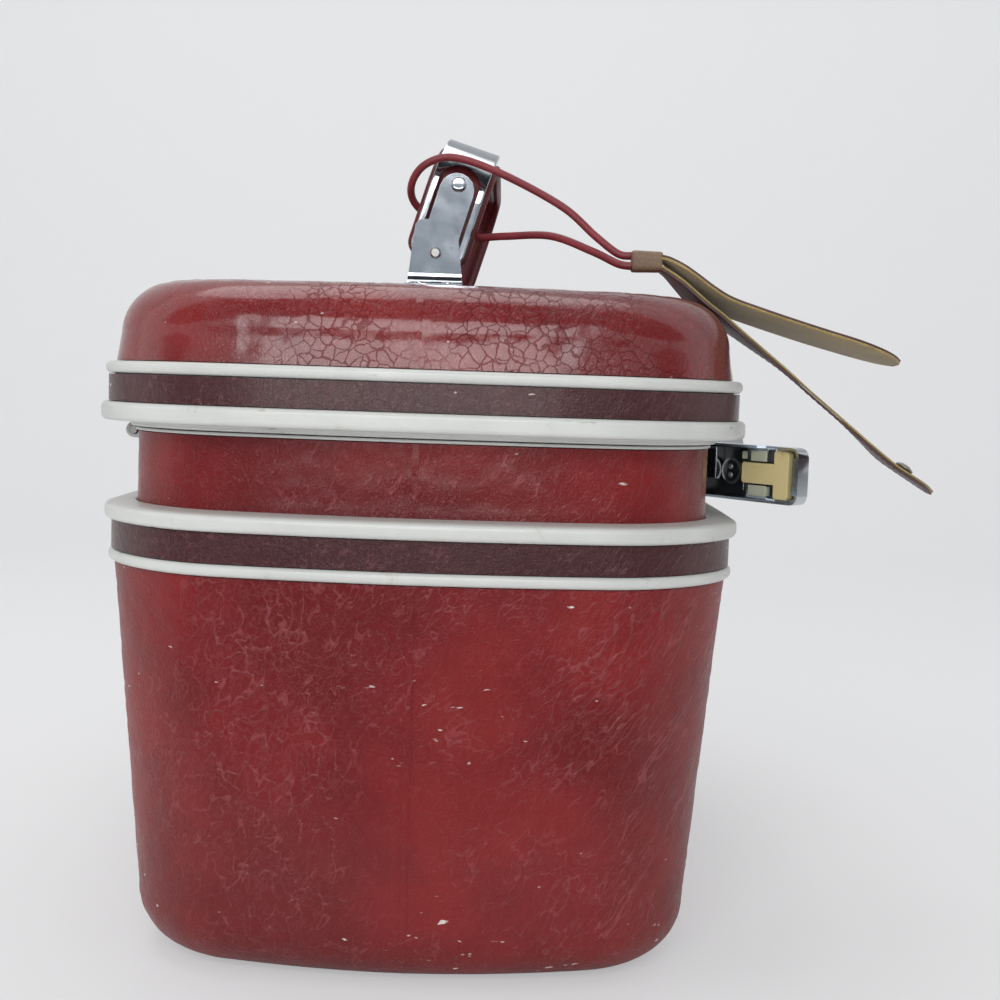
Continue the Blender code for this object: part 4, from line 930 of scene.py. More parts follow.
def line_object(name, lines):
    """A mesh of bare lines or single points, for a node tree to put stitches or screws on."""
    mesh = bpy.data.meshes.new(name)
    points = []
    edges = []
    for line in lines:
        first = len(points)
        points += [tuple(place) for place in line]
        edges += [(first + i, first + i + 1) for i in range(len(line) - 1)]
    mesh.from_pydata(points, edges, [])
    return link(name, mesh)


def sew(name, lines, body, thickness=1.0):
    """Stitches along the given lines, as one plain mesh on a body."""
    sizes = bpy.context.scene.train_case_sizes
    rows = line_object(name, lines)
    modifier = rows.modifiers.new("stitches", "NODES")
    modifier.node_group = bpy.data.node_groups.get("stitch rows") or stitch_tree()
    set_inputs(
        modifier, Spacing=sizes.stitch_spacing, Stitch_length=sizes.stitch_length,
        Thread_radius=thickness * sizes.thread / 2, Thread=look("thread"),
    )
    make_plain(rows).data.shade_smooth()
    return settle(rows, body)


# Stage

# The camera fitted to the photo
CAMERA_PLACE = (28.4 * MM, -624 * MM, 208.3 * MM)
CAMERA_TILT_DEG = 4.54
CAMERA_ROLL = 0.0339
CAMERA_LENS_MM = 50.4
CAMERA_SENSOR_MM = 36

# The curved sweep of paper that the case stands on
SWEEP_STEPS = 12
SWEEP_RADIUS = 0.6
SWEEP_BACK_Y = 1.7
SWEEP_WIDTH = 10
SHEETS = (
    ("dark_card", "dark grey card", "#2a2c30", ((-0.27, 0.001), (-1.9, 0.001))),
    ("grey_card", "blue-grey card", "#aab2bb", ((-1.9, 0.001), (-1.9, 0.75))),
    ("dark_ceiling", "dark grey ceiling", "#2a2c30", ((-1.9, 1.3), (-0.3, 1.5))),
)
LAMPS = (
    ("key", (-0.1, -1.4, 0.86), (0, 0, 0.2), 1.1, 0.62, 9.5),
    ("low", (-0.12, -1.6, 0.2), (0, 0, 0.2), 1.1, 0.16, 2.0),
    ("fill", (-1.3, -0.5, 0.8), (0, 0, 0.12), 0.9, 0.9, 2.6),
    ("top", (-0.2, 0.2, 1.7), (0, 0, 0.1), 1.2, 1.2, 8.0),
)


def put_sheet(name, finish_name, code, line):
    """A sheet of paper along (y, z) points, and its node tree."""
    made, tree, place = start_material(finish_name)
    cloud = add(tree, NOISE, {"Vector": place, "Scale": 3.0})[0]
    paper, shaded = rgba(linear(code)), rgba(linear(code), 0.985)
    body = add(tree, MIX, {0: cloud, 6: shaded, 7: paper}, data_type="RGBA")[2]
    finish(made, body, 0.85, cloud, 0.0, Specular_IOR_Level=0.15)
    shape = bmesh.new()
    rows = [[shape.verts.new((x, y, z)) for x in (-SWEEP_WIDTH / 2, SWEEP_WIDTH / 2)] for y, z in line]
    for lower, upper in zip(rows, rows[1:]):
        shape.faces.new((lower[0], lower[1], upper[1], upper[0]))
    mesh = bpy.data.meshes.new(name)
    shape.to_mesh(mesh)
    shape.free()
    mesh.shade_smooth()
    mesh.materials.append(made)
    sheet = link(name, mesh)
    return sheet, tree, place


def put_floor(backdrop):
    """Paper bright enough for the camera, with the object's shadow still on it."""
    line = [(-4, 0)] + [(y / 2, 0) for y in range(-7, 3)]
    for step in range(1, SWEEP_STEPS + 1):
        turn = math.pi / 2 * step / SWEEP_STEPS
        out = SWEEP_BACK_Y - SWEEP_RADIUS + SWEEP_RADIUS * math.sin(turn)
        line.append((out, SWEEP_RADIUS - SWEEP_RADIUS * math.cos(turn)))
    line.append((SWEEP_BACK_Y, 4))
    _, tree, place = put_sheet("studio_floor", "pale paper sweep", "#f0f0f1", line)
    spot = add(tree, PARTS, (place,))
    near = add(tree, RANGE, (spot["Y"], -0.4, 0.3, 0.92, 1.05))[0]
    high = add(tree, RANGE, (spot["Z"], 0.0, 0.8, 1.0, 1.1))[0]
    strength = add(tree, MATH, (near, high), operation="MULTIPLY")[0]
    glow = add(tree, "ShaderNodeEmission", {"Color": rgba(backdrop), "Strength": strength})[0]
    seen = add(tree, "ShaderNodeLightPath")["Is Camera Ray"]
    half = add(tree, MATH, (seen, 0.5), operation="MULTIPLY")[0]
    paper = tree.nodes["Principled BSDF"].outputs[0]
    both = add(tree, "ShaderNodeMixShader", (half, paper, glow))[0]
    tree.links.new(both, tree.nodes["Material Output"].inputs["Surface"])


def light_world(backdrop):
    """Soft white light all round; the camera and reflections see the backdrop's colour instead."""
    world = bpy.data.worlds.new("studio")
    world.use_nodes = True
    bpy.context.scene.world = world
    tree = world.node_tree
    light = tree.nodes["Background"]
    light.inputs["Color"].default_value = (1, 1, 1, 1)
    light.inputs["Strength"].default_value = 0.5
    seen = add(tree, "ShaderNodeBackground", {"Color": rgba(backdrop), "Strength": 1.0})[0]
    path = add(tree, "ShaderNodeLightPath")
    share = add(tree, MATH, (path["Is Camera Ray"], path["Is Transmission Ray"]), operation="MAXIMUM")[0]
    share = add(tree, MATH, (share, path["Is Glossy Ray"]), operation="MAXIMUM")[0]
    mixed = add(tree, "ShaderNodeMixShader", (share, light.outputs[0], seen))[0]
    tree.links.new(mixed, tree.nodes["World Output"].inputs["Surface"])


def hang_lamps():
    """Soft boxes in front, at the side and above."""
    for name, place, target, width, height, power in LAMPS:
        data = bpy.data.lights.new(name, "AREA")
        data.shape = "RECTANGLE"
        data.size = width
        data.size_y = height
        data.energy = power
        lamp = link(name, data)
        lamp.location = place
        lamp.rotation_euler = (Vector(target) - Vector(place)).to_track_quat("-Z", "Y").to_euler()
        lamp.visible_glossy = name != "fill"


# Operators


class CASE_OT_stage(bpy.types.Operator):
    """Set the floor, the soft studio light and the camera"""

    bl_idname = "train_case.stage"
    bl_label = "Stage"

    def execute(self, context):
        backdrop = context.scene.train_case_colours.backdrop
        context.scene.view_settings.view_transform = "Standard"
        put_floor(backdrop)
        for row in SHEETS:
            # The cards stand for the room behind the camera, so only reflections see them
            sheet, _, _ = put_sheet(*row)
            sheet.visible_camera = sheet.visible_diffuse = sheet.visible_shadow = False
        light_world(backdrop)
        hang_lamps()
        data = bpy.data.cameras.new("camera")
        data.lens = CAMERA_LENS_MM
        data.sensor_width = CAMERA_SENSOR_MM
        camera = link("camera", data)
        turn = Matrix.Rotation(math.radians(90 - CAMERA_TILT_DEG), 4, "X")
        turn = turn @ Matrix.Rotation(CAMERA_ROLL, 4, "Z")
        camera.matrix_world = Matrix.Translation(CAMERA_PLACE) @ turn
        context.scene.camera = camera
        return {"FINISHED"}


class CASE_OT_tag_cord(bpy.types.Operator):
    """Tie the tag's cord round the near leg of the handle"""

    bl_idname = "train_case.tag_cord"
    bl_label = "Tag cord"

    def execute(self, context):
        diameter = context.scene.train_case_sizes.cord_diameter
        line = smooth_line([Vector(place) * MM for place in CORD_ROUTE], diameter / 2)
        curve = bpy.data.curves.new("tag_cord_looks", "CURVE")
        curve.dimensions = "3D"
        curve.bevel_depth = diameter / 2
        curve.bevel_resolution = CORD_STEPS
        curve.use_fill_caps = True
        strand = curve.splines.new("POLY")
        strand.points.add(len(line) - 1)
        for point, place in zip(strand.points, line):
            point.co = (*place, 1)
        bent = bpy.data.objects.new("cord_line", curve)
        shape = bmesh.new()
        shape.from_mesh(bent.to_mesh())
        bmesh.ops.remove_doubles(shape, verts=shape.verts, dist=MERGE_DISTANCE / 2)
        bpy.data.objects.remove(bent)
        cord = mesh_object("tag_cord_looks", shape, "cord", 60)
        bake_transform(cord)
        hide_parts("tag_cord")
        return {"FINISHED"}


def how_far_out(place):
    """How far out a point of a shell lies, as a share of the case's half width or length."""
    return max(abs(place.x) / HALF_X, abs(place.y) / HALF_Y)


def on_base(place):
    """Where the base is crumpled: all over its outside, less near the foot and the rim."""
    outside = 1.0 if how_far_out(place) > 0.78 else 0.0
    return outside * ramp(place.z, 0, 12 * MM) * ramp(BASE_RIM_Z - place.z, 1 * MM, 8 * MM)


def on_collar(place):
    """Where the collar is crumpled: in the middle of the part that shows."""
    middle = (BASE_TOP_Z + COLLAR_TOP_Z) / 2
    return 1 - ramp(abs(place.z - middle), 8 * MM, 11 * MM)


def on_lid(place):
    """Where the lid is crumpled: all over its outside, but not at its rim or under the handle's feet."""
    outside = LID_TOP_Z - LID_CROWN - SHELL_WALL / 2
    top_side = 1.0 if place.z > outside or how_far_out(place) > 0.94 else 0.0
    free = ramp(abs(abs(place.y) - FOOT_PLACE_Y), 10 * MM, 14 * MM)
    free = max(free, ramp(abs(place.x), 12 * MM, 16 * MM))
    bottom = LID_FRAME_TOP_Z + GAP
    return top_side * ramp(place.z, bottom + 1 * MM, bottom + 6 * MM) * free


class CASE_OT_shells(bpy.types.Operator):
    """Cover the base, the recess collar, the lid and the two dark strips with vinyl"""

    bl_idname = "train_case.shells"
    bl_label = "Vinyl shells"

    def execute(self, context):
        sizes = context.scene.train_case_sizes
        depth, size = sizes.crumple_depth, sizes.crumple_size
        foot, inner_inset, radius = SHELL_INSET + BASE_TAPER, SHELL_INSET + SHELL_WALL, BASE_FOOT_RADIUS
        top = BASE_RIM_Z - GAP
        outer = foot_line(top, SHELL_INSET, foot, radius, radius, FOOT_STEPS)
        inner = foot_line(top, inner_inset, foot + SHELL_WALL, radius - SHELL_WALL, radius, INNER_STEPS)
        shape = plan_solid(finer(outer, FINE_ROW) + list(reversed(inner)), FINE_PLAN, closed=False)
        crumple(shape, depth, size, on_base)
        settle(mesh_object("base_shell_vinyl", shape, "base", 60), "base", ["base_shell"])

        collar = finer([(COLLAR_INSET, COLLAR_BOTTOM_Z), (COLLAR_INSET, COLLAR_TOP_Z)], FINE_ROW)
        collar += [(COLLAR_INNER_INSET, COLLAR_TOP_Z), (COLLAR_INNER_INSET, COLLAR_BOTTOM_Z)]
        shape = crumple(plan_solid(collar, FINE_PLAN), depth * 0.6, size * 0.7, on_collar)
        settle(mesh_object("recess_collar_vinyl", shape, "collar", 50), "base", ["recess_collar"])

        bottom, radius = LID_FRAME_TOP_Z + GAP, LID_SHOULDER_RADIUS
        outer = dome_line(SHELL_INSET, bottom, LID_TOP_Z, radius, FOOT_STEPS, CROWN_ROWS)
        top, radius = LID_TOP_Z - SHELL_WALL, radius - SHELL_WALL
        inner = dome_line(inner_inset, bottom, top, radius, INNER_STEPS, INNER_CROWN_ROWS)
        shape = plan_solid(list(reversed(finer(outer, FINE_ROW))) + inner, FINE_PLAN, closed=False)
        crumple(shape, depth, size * 1.1, on_lid)
        settle(mesh_object("lid_shell_vinyl", shape, "lid", 60), "lid", ["lid_shell"])

        for name, body, outer, low, high in (
            ("base_band", "base", BAND_INSET, BASE_THIN_TOP_Z + GAP, BASE_THICK_BOTTOM_Z - GAP),
            ("lid_band", "lid", BAND_INSET - LID_OVERSIZE, LID_THICK_TOP_Z + GAP, LID_THIN_BOTTOM_Z - GAP),
        ):
            inner = outer + BAND_THICKNESS
            strip = finer([(outer, low), (outer, high)], FINE_ROW / 2) + [(inner, high), (inner, low)]
            settle(mesh_object(name + "_vinyl", plan_solid(strip, RAIL_PLAN), "band", 50), body, [name])
        return {"FINISHED"}


class CASE_OT_rails(bpy.types.Operator):
    """Mould the pale rails, the lid's flange and the collar's lip"""

    bl_idname = "train_case.rails"
    bl_label = "Rails"

    def execute(self, context):
        web = BAND_INSET + BAND_THICKNESS + GAP
        base = [
            (THIN_RAIL_INSET + RAIL_ROUND, BASE_RIM_Z),
            (THIN_RAIL_INSET, BASE_RIM_Z + RAIL_ROUND),
            (THIN_RAIL_INSET, BASE_THIN_TOP_Z - RAIL_ROUND),
            (THIN_RAIL_INSET + RAIL_ROUND, BASE_THIN_TOP_Z),
            (web, BASE_THIN_TOP_Z),
            (web, BASE_THICK_BOTTOM_Z),
            (RAIL_ROUND, BASE_THICK_BOTTOM_Z),
            (0, BASE_THICK_BOTTOM_Z + RAIL_ROUND),
            (0, BASE_TOP_Z - 2 * RAIL_ROUND),
            (RAIL_ROUND / 2, BASE_TOP_Z - RAIL_ROUND),
            (2 * RAIL_ROUND, BASE_TOP_Z - RAIL_ROUND / 2),
            (FRAME_INNER_INSET, BASE_TOP_Z),
            (FRAME_INNER_INSET, BASE_RIM_Z),
        ]
        over = -LID_OVERSIZE
        thin_outer = over + THIN_RAIL_INSET
        web = over + web
        inner = COLLAR_INNER_INSET
        lid = [
            (over + RAIL_ROUND, LID_BOTTOM_Z),
            (over, LID_BOTTOM_Z + RAIL_ROUND),
            (over, LID_THICK_TOP_Z - RAIL_ROUND),
            (over + RAIL_ROUND, LID_THICK_TOP_Z),
            (web, LID_THICK_TOP_Z),
            (web, LID_THIN_BOTTOM_Z),
            (thin_outer + RAIL_ROUND, LID_THIN_BOTTOM_Z),
            (thin_outer, LID_THIN_BOTTOM_Z + RAIL_ROUND),
            (thin_outer, LID_FRAME_TOP_Z - RAIL_ROUND),
            (thin_outer + RAIL_ROUND, LID_FRAME_TOP_Z),
            (FRAME_INNER_INSET, LID_FRAME_TOP_Z),
            (FRAME_INNER_INSET, LID_BOTTOM_Z + THIN_RAIL / 2),
            (inner, LID_BOTTOM_Z),
            (inner, FLANGE_BOTTOM_Z),
            (FLANGE_INSET, FLANGE_BOTTOM_Z),
            (FLANGE_INSET, LID_BOTTOM_Z),
        ]
        low = COLLAR_TOP_Z + GAP
        high = low + LIP_HEIGHT
        outer = COLLAR_INSET - LIP_PROUD
        lip = [(outer, low), (outer, high), (inner, high), (inner, low)]
        for node, body, line in (
            ("base_frame", "base", base),
            ("lid_frame", "lid", lid),
            ("collar_lip", "base", lip),
        ):
            shape = plan_solid(rounded(line, RAIL_ROUND), RAIL_PLAN)
            settle(mesh_object(node + "_moulding", shape, "rail", 30), body, [node])
        return {"FINISHED"}


class CASE_OT_linings(bpy.types.Operator):
    """Line the base and the lid with cloth, and finish the mirror"""

    bl_idname = "train_case.linings"
    bl_label = "Linings and mirror"

    def execute(self, context):
        wall = COLLAR_INNER_INSET + LINING_GAP
        top = COLLAR_TOP_Z - LIP_HEIGHT
        foot = SHELL_INSET + BASE_TAPER + SHELL_WALL + LINING_GAP
        radius = BASE_FOOT_RADIUS - SHELL_WALL - LINING_GAP
        centre = SHELL_WALL + LINING_GAP + radius
        outer, inner = [
            foot_line(top, wall + cloth, foot + cloth, radius - cloth, centre, FOOT_STEPS)
            for cloth in (0, LINING_WALL)
        ]
        shape = plan_solid(outer + list(reversed(inner)), RAIL_PLAN, closed=False)
        settle(mesh_object("base_lining_cloth", shape, "lining"), "base", ["base_lining"])

        inset = FRAME_INNER_INSET + LINING_GAP
        bottom = LID_BOTTOM_Z + THIN_RAIL
        top = LID_TOP_Z - SHELL_WALL - LINING_GAP
        radius = LID_SHOULDER_RADIUS - SHELL_WALL - LINING_GAP
        outer, inner = [
            dome_line(inset + cloth, bottom, top - cloth, radius - cloth, FOOT_STEPS, LINING_CROWN_ROWS)
            for cloth in (0, LINING_WALL)
        ]
        shape = plan_solid(list(reversed(outer)) + inner, RAIL_PLAN, closed=False)
        settle(mesh_object("lid_lining_cloth", shape, "lining"), "lid", ["lid_lining"])

        edge = context.scene.train_case_sizes.edge
        settle(softened("lid_mirror_glass", "lid_mirror", "mirror", edge * 2, 3), "lid", ["lid_mirror"])
        settle(softened("mirror_rim_moulding", "mirror_rim", "rail", edge * 2, 3), "lid", ["mirror_rim"])
        return {"FINISHED"}


class CASE_OT_hardware(bpy.types.Operator):
    """Finish the plated hinges and the chrome handle fittings from their solids"""

    bl_idname = "train_case.hardware"
    bl_label = "Hinges and handle fittings"

    def execute(self, context):
        edge = context.scene.train_case_sizes.edge
        for side, way in SIDES:
            for node, body, material, width in (
                ("hinge_base_leaf_", "base", "steel", edge),
                ("hinge_pin_", "base", "steel", edge / 2),
                ("hinge_lid_leaf_", "lid", "steel", edge / 2),
                ("handle_foot_", "lid", "chrome", edge * 2),
                ("handle_pin_", "lid", "steel", edge),
                ("handle_cap_", "handle", "chrome", edge * 2.5),
                ("handle_link_", "handle", "chrome", edge),
                ("handle_rivet_", "handle", "chrome", edge),
            ):
                # The cap's bend lies deeper than its leg, so its window is cut deeper too
                cutter = handle_window(way, 2 * WINDOW_DEPTH, material) if node == "handle_cap_" else None
                piece = softened(node + side + "_finish", node + side, material, width, cutter=cutter)
                settle(piece, body, [node + side])
        return {"FINISHED"}


# Blocks in the latch covers, in mm: start and end along the cover, low, high, and how tall off its floor
LATCH_BLOCKS = (
    ("floor", "black", 4, 42.6, -10, 10, 0.15),
    ("case", "black", 4.6, 14.2, -3.4, 9.2, 4.6),
    ("case_rim", "chrome", 4.2, 14.6, 8.6, 9.9, 5.0),
    ("case_end", "chrome", 13.9, 14.9, -3.8, 9.9, 5.0),
    ("clip", "pale", 26.4, 31.6, 5.4, 8.6, 2.0),
    ("guide_top", "pale", 32.2, 40.4, 4.9, 9.2, 3.0),
    ("guide_low", "pale", 31.2, 40.8, -9.2, -4.9, 3.0),
    ("strap", "chrome", 26.2, 27.3, -7.5, 4.6, 1.2),
)
# The lock's face and its studs: how high they stand off its middle, and in mm their radius and height
LOCK_PARTS = (
    ("face", "black", 0, 4.4, 0.2),
    ("stud_low", "steel", -LOCK_STUD_Z, 1.4, 0.9),
    ("stud_high", "steel", LOCK_STUD_Z, 1.4, 0.9),
)
# A dome, as shares of its radius and height; its last ring is sunk
DOME = ((0.05, 1.0), (0.45, 0.88), (0.75, 0.6), (1, 0), (1, -0.4))


class CASE_OT_latches(bpy.types.Operator):
    """Finish the swinging latches, their slides, locks and keepers, and add their inner fittings"""

    bl_idname = "train_case.latches"
    bl_label = "Latches"

    def execute(self, context):
        edge = context.scene.train_case_sizes.edge
        floor = LATCH_FLOOR_X - GAP / 3
        face = floor - GAP - LOCK_CAM
        for name, side in SIDES:
            for node, body, material, width in (
                ("latch_plate_", "base", "chrome", edge),
                ("latch_pin_", "base", "steel", edge),
                ("latch_cover_", "latch_" + name, "chrome", edge * 0.8),
                ("latch_slide_", "slide_" + name, "nylon", edge),
                ("lock_barrel_", "lock_" + name, "steel", edge * 0.6),
                ("latch_keeper_", "lid", "nylon", edge),
            ):
                piece = softened(node + name + "_finish", node + name, material, width)
                settle(piece, body, [node + name])
            turn = Matrix.Rotation(-side * math.radians(LATCH_OPEN_DEG), 4, "Z")
            pin = Matrix.Translation((LATCH_PIN_X, side * LATCH_PIN_Y, LATCH_MIDDLE_Z)) @ turn
            for part, material, start, end, low, high, tall in LATCH_BLOCKS:
                s0, s1 = sorted((side * start * MM, side * end * MM))
                shape = box((floor - tall * MM, s0, low * MM), (floor, s1, high * MM))
                shape.transform(pin)
                piece = mesh_object("latch_" + part + "_" + name, shape, material, 180)
                settle(round_edges(piece, edge, 3), "latch_" + name)
            for part, material, up, radius, tall in LOCK_PARTS:
                rings = []
                for share, out in DOME:
                    x = face - out * tall * MM
                    ring = circle(share * radius * MM, CIRCLE_STEPS)
                    rings.append([pin @ Vector((x, side * LOCK_CENTRE + u, up + v)) for u, v in ring])
                piece = mesh_object("lock_" + part + "_" + name, loft(rings), material, 40)
                settle(piece, "lock_" + name)
        return {"FINISHED"}


# The grip's leather
BEAD_RADIUS = 1.55 * MM
SEAM_INSET = 3.9 * MM
SEAM_RISE = 0.72
CROWN_POWER = 3.2
MIDDLE_SWELL = 0.32
LEG_STEPS = 6
BEND_STEPS = 16
TOP_STEPS = 12
CROWN_STEPS = 14
BEAD_STEPS = 8
BEAD_ARC_DEG = 290


def bow_line(margin):
    """Half of the handle's bow from its leg end up, margin in from the outer face."""
    radius = HANDLE_BEND_RADIUS - margin
    leg_y = HANDLE_LENGTH / 2 - margin
    bend_y = HANDLE_LENGTH / 2 - HANDLE_BEND_RADIUS
    bend_z = HANDLE_RISE - HANDLE_BEND_RADIUS
    corner_z = LEG_CORNER - LEG_END
    heights = [LEG_CORNER * share - LEG_END for share in CORNER_SHARES]
    heights += [corner_z + (bend_z - corner_z) * step / LEG_STEPS for step in range(1, LEG_STEPS + 1)]
    points = [Vector((0, leg_y, z)) for z in heights]
    for step in range(1, BEND_STEPS + 1):
        turn = math.pi / 2 * step / BEND_STEPS
        points.append(Vector((0, bend_y + radius * math.cos(turn), bend_z + radius * math.sin(turn))))
    return points


def grip_path(leather):
    """Points along the middle of the grip, and how wide and thick it is at each, as shares."""
    half = bow_line(CAP_THICKNESS + GAP + leather / 2)
    widths = []
    for share in CORNER_SHARES:
        inset = LEG_CORNER * (1 - math.sqrt(1 - (1 - share) ** 2))
        widths.append(1 - inset / (HANDLE_WIDTH / 2))
    widths += [1] * (len(half) - len(widths))
    depths = [1] * len(half)
    top_y = HANDLE_LENGTH / 2 - HANDLE_BEND_RADIUS
    for step in range(TOP_STEPS - 1, -1, -1):
        share = step / TOP_STEPS
        half.append(Vector((0, top_y * share, half[-1].z)))
        widths.append(1)
        depths.append(1 + MIDDLE_SWELL * (1 - share * share))
    path = half + [Vector((0, -p.y, p.z)) for p in reversed(half[:-1])]
    return path, widths + widths[-2::-1], depths + depths[-2::-1]


def grip_section(half_width, half_depth):
    """Padded leather between two piped edges: (u, v) points round the grip."""
    bead_u = half_width - BEAD_RADIUS
    seam = bead_u - BEAD_RADIUS * 0.95
    low = BEAD_RADIUS * 0.55
    upper = []
    for step in range(CROWN_STEPS + 1):
        share = 1 - 2 * step / CROWN_STEPS
        crown = math.sqrt(max(0.0, 1 - abs(share) ** CROWN_POWER))
        upper.append((seam * share, low + (half_depth - low) * crown))
    points = []
    for way in (1, -1):
        for step in range(BEAD_STEPS + 1):
            turn = math.radians(BEAD_ARC_DEG / 2 - BEAD_ARC_DEG * step / BEAD_STEPS)
            u = bead_u + BEAD_RADIUS * math.cos(turn)
            points.append((way * u, way * BEAD_RADIUS * math.sin(turn)))
        points += [(u, -way * v) for u, v in upper[::way]]
    return points


class CASE_OT_grip(bpy.types.Operator):
    """Sew the padded leather grip of the handle"""

    bl_idname = "train_case.grip"
    bl_label = "Leather grip"

    def execute(self, context):
        half_width = HANDLE_WIDTH / 2
        leather = HANDLE_THICKNESS - CAP_THICKNESS - GAP
        path, widths, depths = grip_path(leather)
        section = grip_section(half_width, leather / 2)
        sideways = Vector((1, 0, 0))
        rings = []
        seams = [(way, face, []) for way in (1, -1) for face in (1, -1)]
        for i, place in enumerate(path):
            wide, thick = widths[i], depths[i]
            along = (path[min(i + 1, len(path) - 1)] - path[max(i - 1, 0)]).normalized()
            up = sideways.cross(along).normalized()
            rings.append([HANDLE_LEAN @ (place + sideways * u * wide + up * v * thick) for u, v in section])
            if wide == 1:
                for way, face, seam in seams:
                    rise = face * leather / 2 * thick * SEAM_RISE
                    out = sideways * way * (half_width - SEAM_INSET)
                    seam.append(HANDLE_LEAN @ (place + out + up * rise))
        grip = mesh_object("handle_grip_leather", loft(rings), "grip", 50)
        for _, side in SIDES:
            cut_away(grip, handle_window(side, WINDOW_DEPTH, "grip"))
        settle(grip, "handle", ["handle_grip"])
        sew("handle_stitches", [seam for _, _, seam in seams], "handle")
        return {"FINISHED"}


# The tag's two layers of leather, and the part of a leaf that is sewn
LAYER_GAP = 0.08 * MM
INNER_TRIM = 0.4 * MM
SEWN_PART = slice(8, -3)
# The tag's folded strap, in mm: how far along, half its width and half its height
FOLD_RINGS = (
    (-9.6, 3.5, 3.7),
    (-9.2, 3.9, 4.1),
    (-6, 4.2, 4),
    (-3, 4.6, 3.8),
    (0, 5, 3.8),
    (1.6, 5.2, 3.6),
    (2, 4.9, 3.3),
)


def leaf_frames(places):
    """Centre, sideways, lift and share of the width of a tag leaf, read finely along its places."""
    fine = []
    points = [Vector((x, z, share * 10, twist)) for x, z, share, twist in places]
    for x, z, share, twist in smooth_line(points):
        fine.append((x * MM, z * MM, share / 10, math.radians(twist)))
    frames = []
    level = Vector((0, 1, 0))
    for i, (x, z, share, turn) in enumerate(fine):
        before = fine[max(i - 1, 0)]
        after = fine[min(i + 1, len(fine) - 1)]
        along = Vector((after[0] - before[0], 0, after[1] - before[1])).normalized()
        sideways = level * math.cos(turn) - along.cross(level) * math.sin(turn)
        frames.append((Vector((x, TAG_Y, z)), sideways, along.cross(sideways), share))
    return frames


def build_leaf(name, frames, low, high, trim, material, nodes):
    """One layer of a tag leaf between two heights in its thickness."""
    half = (high - low) / 2
    middle = (high + low) / 2
    section = rounded_rectangle(TAG_WIDTH / 2 - trim, half, half * 0.7, EDGE_STEPS)
    rings = []
    for centre, sideways, lift, share in frames:
        rings.append([centre + sideways * u * share + lift * (middle + v) for u, v in section])
    piece = mesh_object(name, loft(rings), material, 50)
    settle(piece, "lid", nodes)


class CASE_OT_tag(bpy.types.Operator):
    """Cut and sew the two leaves of the luggage tag, its folded strap and its snap"""

    bl_idname = "train_case.tag"
    bl_label = "Luggage tag"

    def execute(self, context):
        half = TAG_THICKNESS / 2
        lower = leaf_frames(LOWER_LEAF_PLACES)
        upper = leaf_frames(UPPER_LEAF_PLACES)
        build_leaf("lower_leaf_leather", lower, -half, -LAYER_GAP, 0, "tag", ["tag_lower_leaf"])
        build_leaf("lower_leaf_suede", lower, LAYER_GAP, half, INNER_TRIM, "suede", ())
        build_leaf("upper_leaf_suede", upper, -half, LAYER_GAP, 0, "suede", ["tag_upper_leaf"])
        build_leaf("upper_leaf_leather", upper, 2 * LAYER_GAP, half, INNER_TRIM, "tag", ())
        rows = []
        for frames, face in ((lower, -1), (upper, 1)):
            for way in (1, -1):
                row = []
                for centre, sideways, lift, share in frames[SEWN_PART]:
                    reach = way * max(0.2, share - 0.14) * TAG_WIDTH / 2
                    row.append(centre + sideways * reach + lift * face * half)
                rows.append(row)
        sew("tag_stitches", rows, "lid", 0.5)

        rings = []
        for along, half_y, half_z in FOLD_RINGS:
            outline = rounded_rectangle(half_y * MM, half_z * MM, half_z * 0.55 * MM, EDGE_STEPS)
            rings.append([Vector((CLASP_X + along * MM, TAG_Y + u, CLASP_Z + v)) for u, v in outline])
        fold = mesh_object("tag_fold", loft(rings), "fold", 60)
        smooth = fold.modifiers.new("soft", "SUBSURF")
        smooth.levels = smooth.render_levels = 1
        settle(make_plain(fold), "lid", ["tag_clasp"])
        settle(softened("tag_snap_finish", "tag_snap", "steel", 0.5 * MM, 4), "lid", ["tag_snap"])
        return {"FINISHED"}


# A screw's head, as radius and height in mm, and two corners of its slot
SCREW_HEAD = ((2.2, 0), (2.2, 0.25), (2.0, 0.55), (1.5, 0.78), (0.8, 0.88))
SLOT_CORNERS = ((-3 * MM, -0.3 * MM, 0.4 * MM), (3 * MM, 0.3 * MM, 2 * MM))
HEAD_SUNK = 0.45


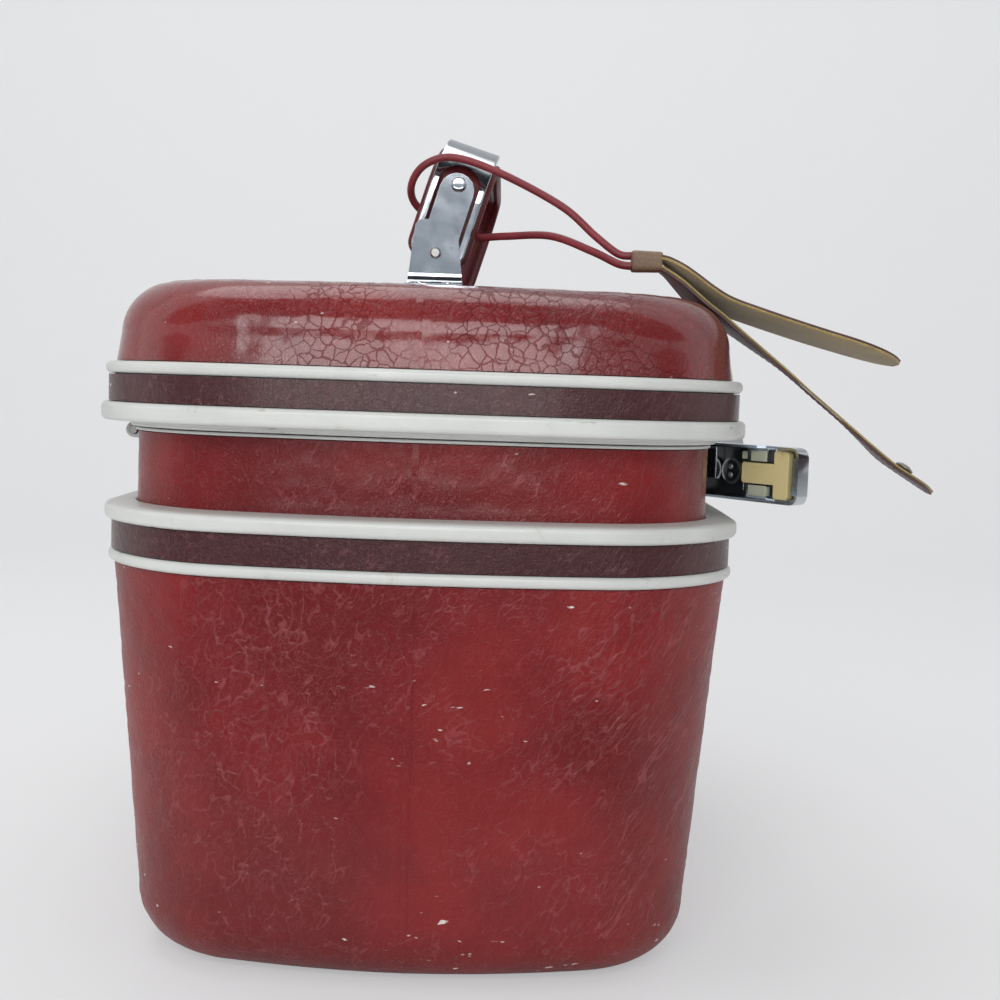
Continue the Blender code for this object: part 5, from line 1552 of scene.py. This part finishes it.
class CASE_OT_screws(bpy.types.Operator):
    """Drive the slotted screws of the handle feet and the hinges"""

    bl_idname = "train_case.screws"
    bl_label = "Screws"

    def execute(self, context):
        rings = []
        for radius, rise in SCREW_HEAD:
            rings.append([Vector((u, v, rise * MM)) for u, v in circle(radius * MM, HEAD_STEPS)])
        head = mesh_object("screw_head", loft(rings), "chrome")
        cut_away(head, mesh_object("screw_slot", box(*SLOT_CORNERS), "chrome"))
        tree = screw_tree()
        for name, body, stem, axis, seed, metal in (
            ("foot_screws", "lid", "foot_screw_", (0, 0, 1), 3, "chrome"),
            ("hinge_screws", "base", "hinge_screw_", (-1, 0, 0), 8, "steel"),
        ):
            nodes = [stem + side + "_" + str(number) for side, _ in SIDES for number in (1, 2)]
            seats = []
            for node in nodes:
                low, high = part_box(node)
                seats.append([(Vector(low) + Vector(high)) / 2 - Vector(axis) * HEAD_SUNK * MM])
            points = line_object(name, seats)
            modifier = points.modifiers.new("screws", "NODES")
            modifier.node_group = tree
            set_inputs(modifier, Head=head, Axis=axis, Seed=seed, Metal=look(metal))
            make_plain(points).data.shade_smooth()
            points.data.set_sharp_from_angle(angle=math.radians(35))
            settle(points, body, nodes)
        bpy.data.objects.remove(head, do_unlink=True)
        return {"FINISHED"}


OPERATORS = (
    CASE_OT_stage,
    CASE_OT_tag_cord,
    CASE_OT_shells,
    CASE_OT_rails,
    CASE_OT_linings,
    CASE_OT_hardware,
    CASE_OT_latches,
    CASE_OT_grip,
    CASE_OT_tag,
    CASE_OT_screws,
)


class CASE_PT_panel(bpy.types.Panel):
    """Lists the case's sizes, colours and pieces"""

    bl_label = "Train Case"
    bl_idname = "CASE_PT_panel"
    bl_space_type = "VIEW_3D"
    bl_region_type = "UI"
    bl_category = "Train Case"

    def draw(self, context):
        for group in (context.scene.train_case_sizes, context.scene.train_case_colours):
            for name in group.bl_rna.properties.keys():
                if name not in ("rna_type", "name"):
                    self.layout.prop(group, name)
        for operator in OPERATORS:
            self.layout.operator(operator.bl_idname)


CLASSES = (CaseColours, CaseSizes, *OPERATORS, CASE_PT_panel)


def register():
    for item in CLASSES:
        bpy.utils.register_class(item)
    bpy.types.Scene.train_case_colours = bpy.props.PointerProperty(type=CaseColours)
    bpy.types.Scene.train_case_sizes = bpy.props.PointerProperty(type=CaseSizes)


def unregister():
    del bpy.types.Scene.train_case_sizes
    del bpy.types.Scene.train_case_colours
    for item in reversed(CLASSES):
        bpy.utils.unregister_class(item)


def main():
    register()
    bpy.ops.train_case.stage()
    bpy.ops.train_case.tag_cord()
    bpy.ops.train_case.shells()
    bpy.ops.train_case.rails()
    bpy.ops.train_case.linings()
    bpy.ops.train_case.hardware()
    bpy.ops.train_case.latches()
    bpy.ops.train_case.grip()
    bpy.ops.train_case.tag()
    bpy.ops.train_case.screws()


if __name__ == "__main__":
    main()
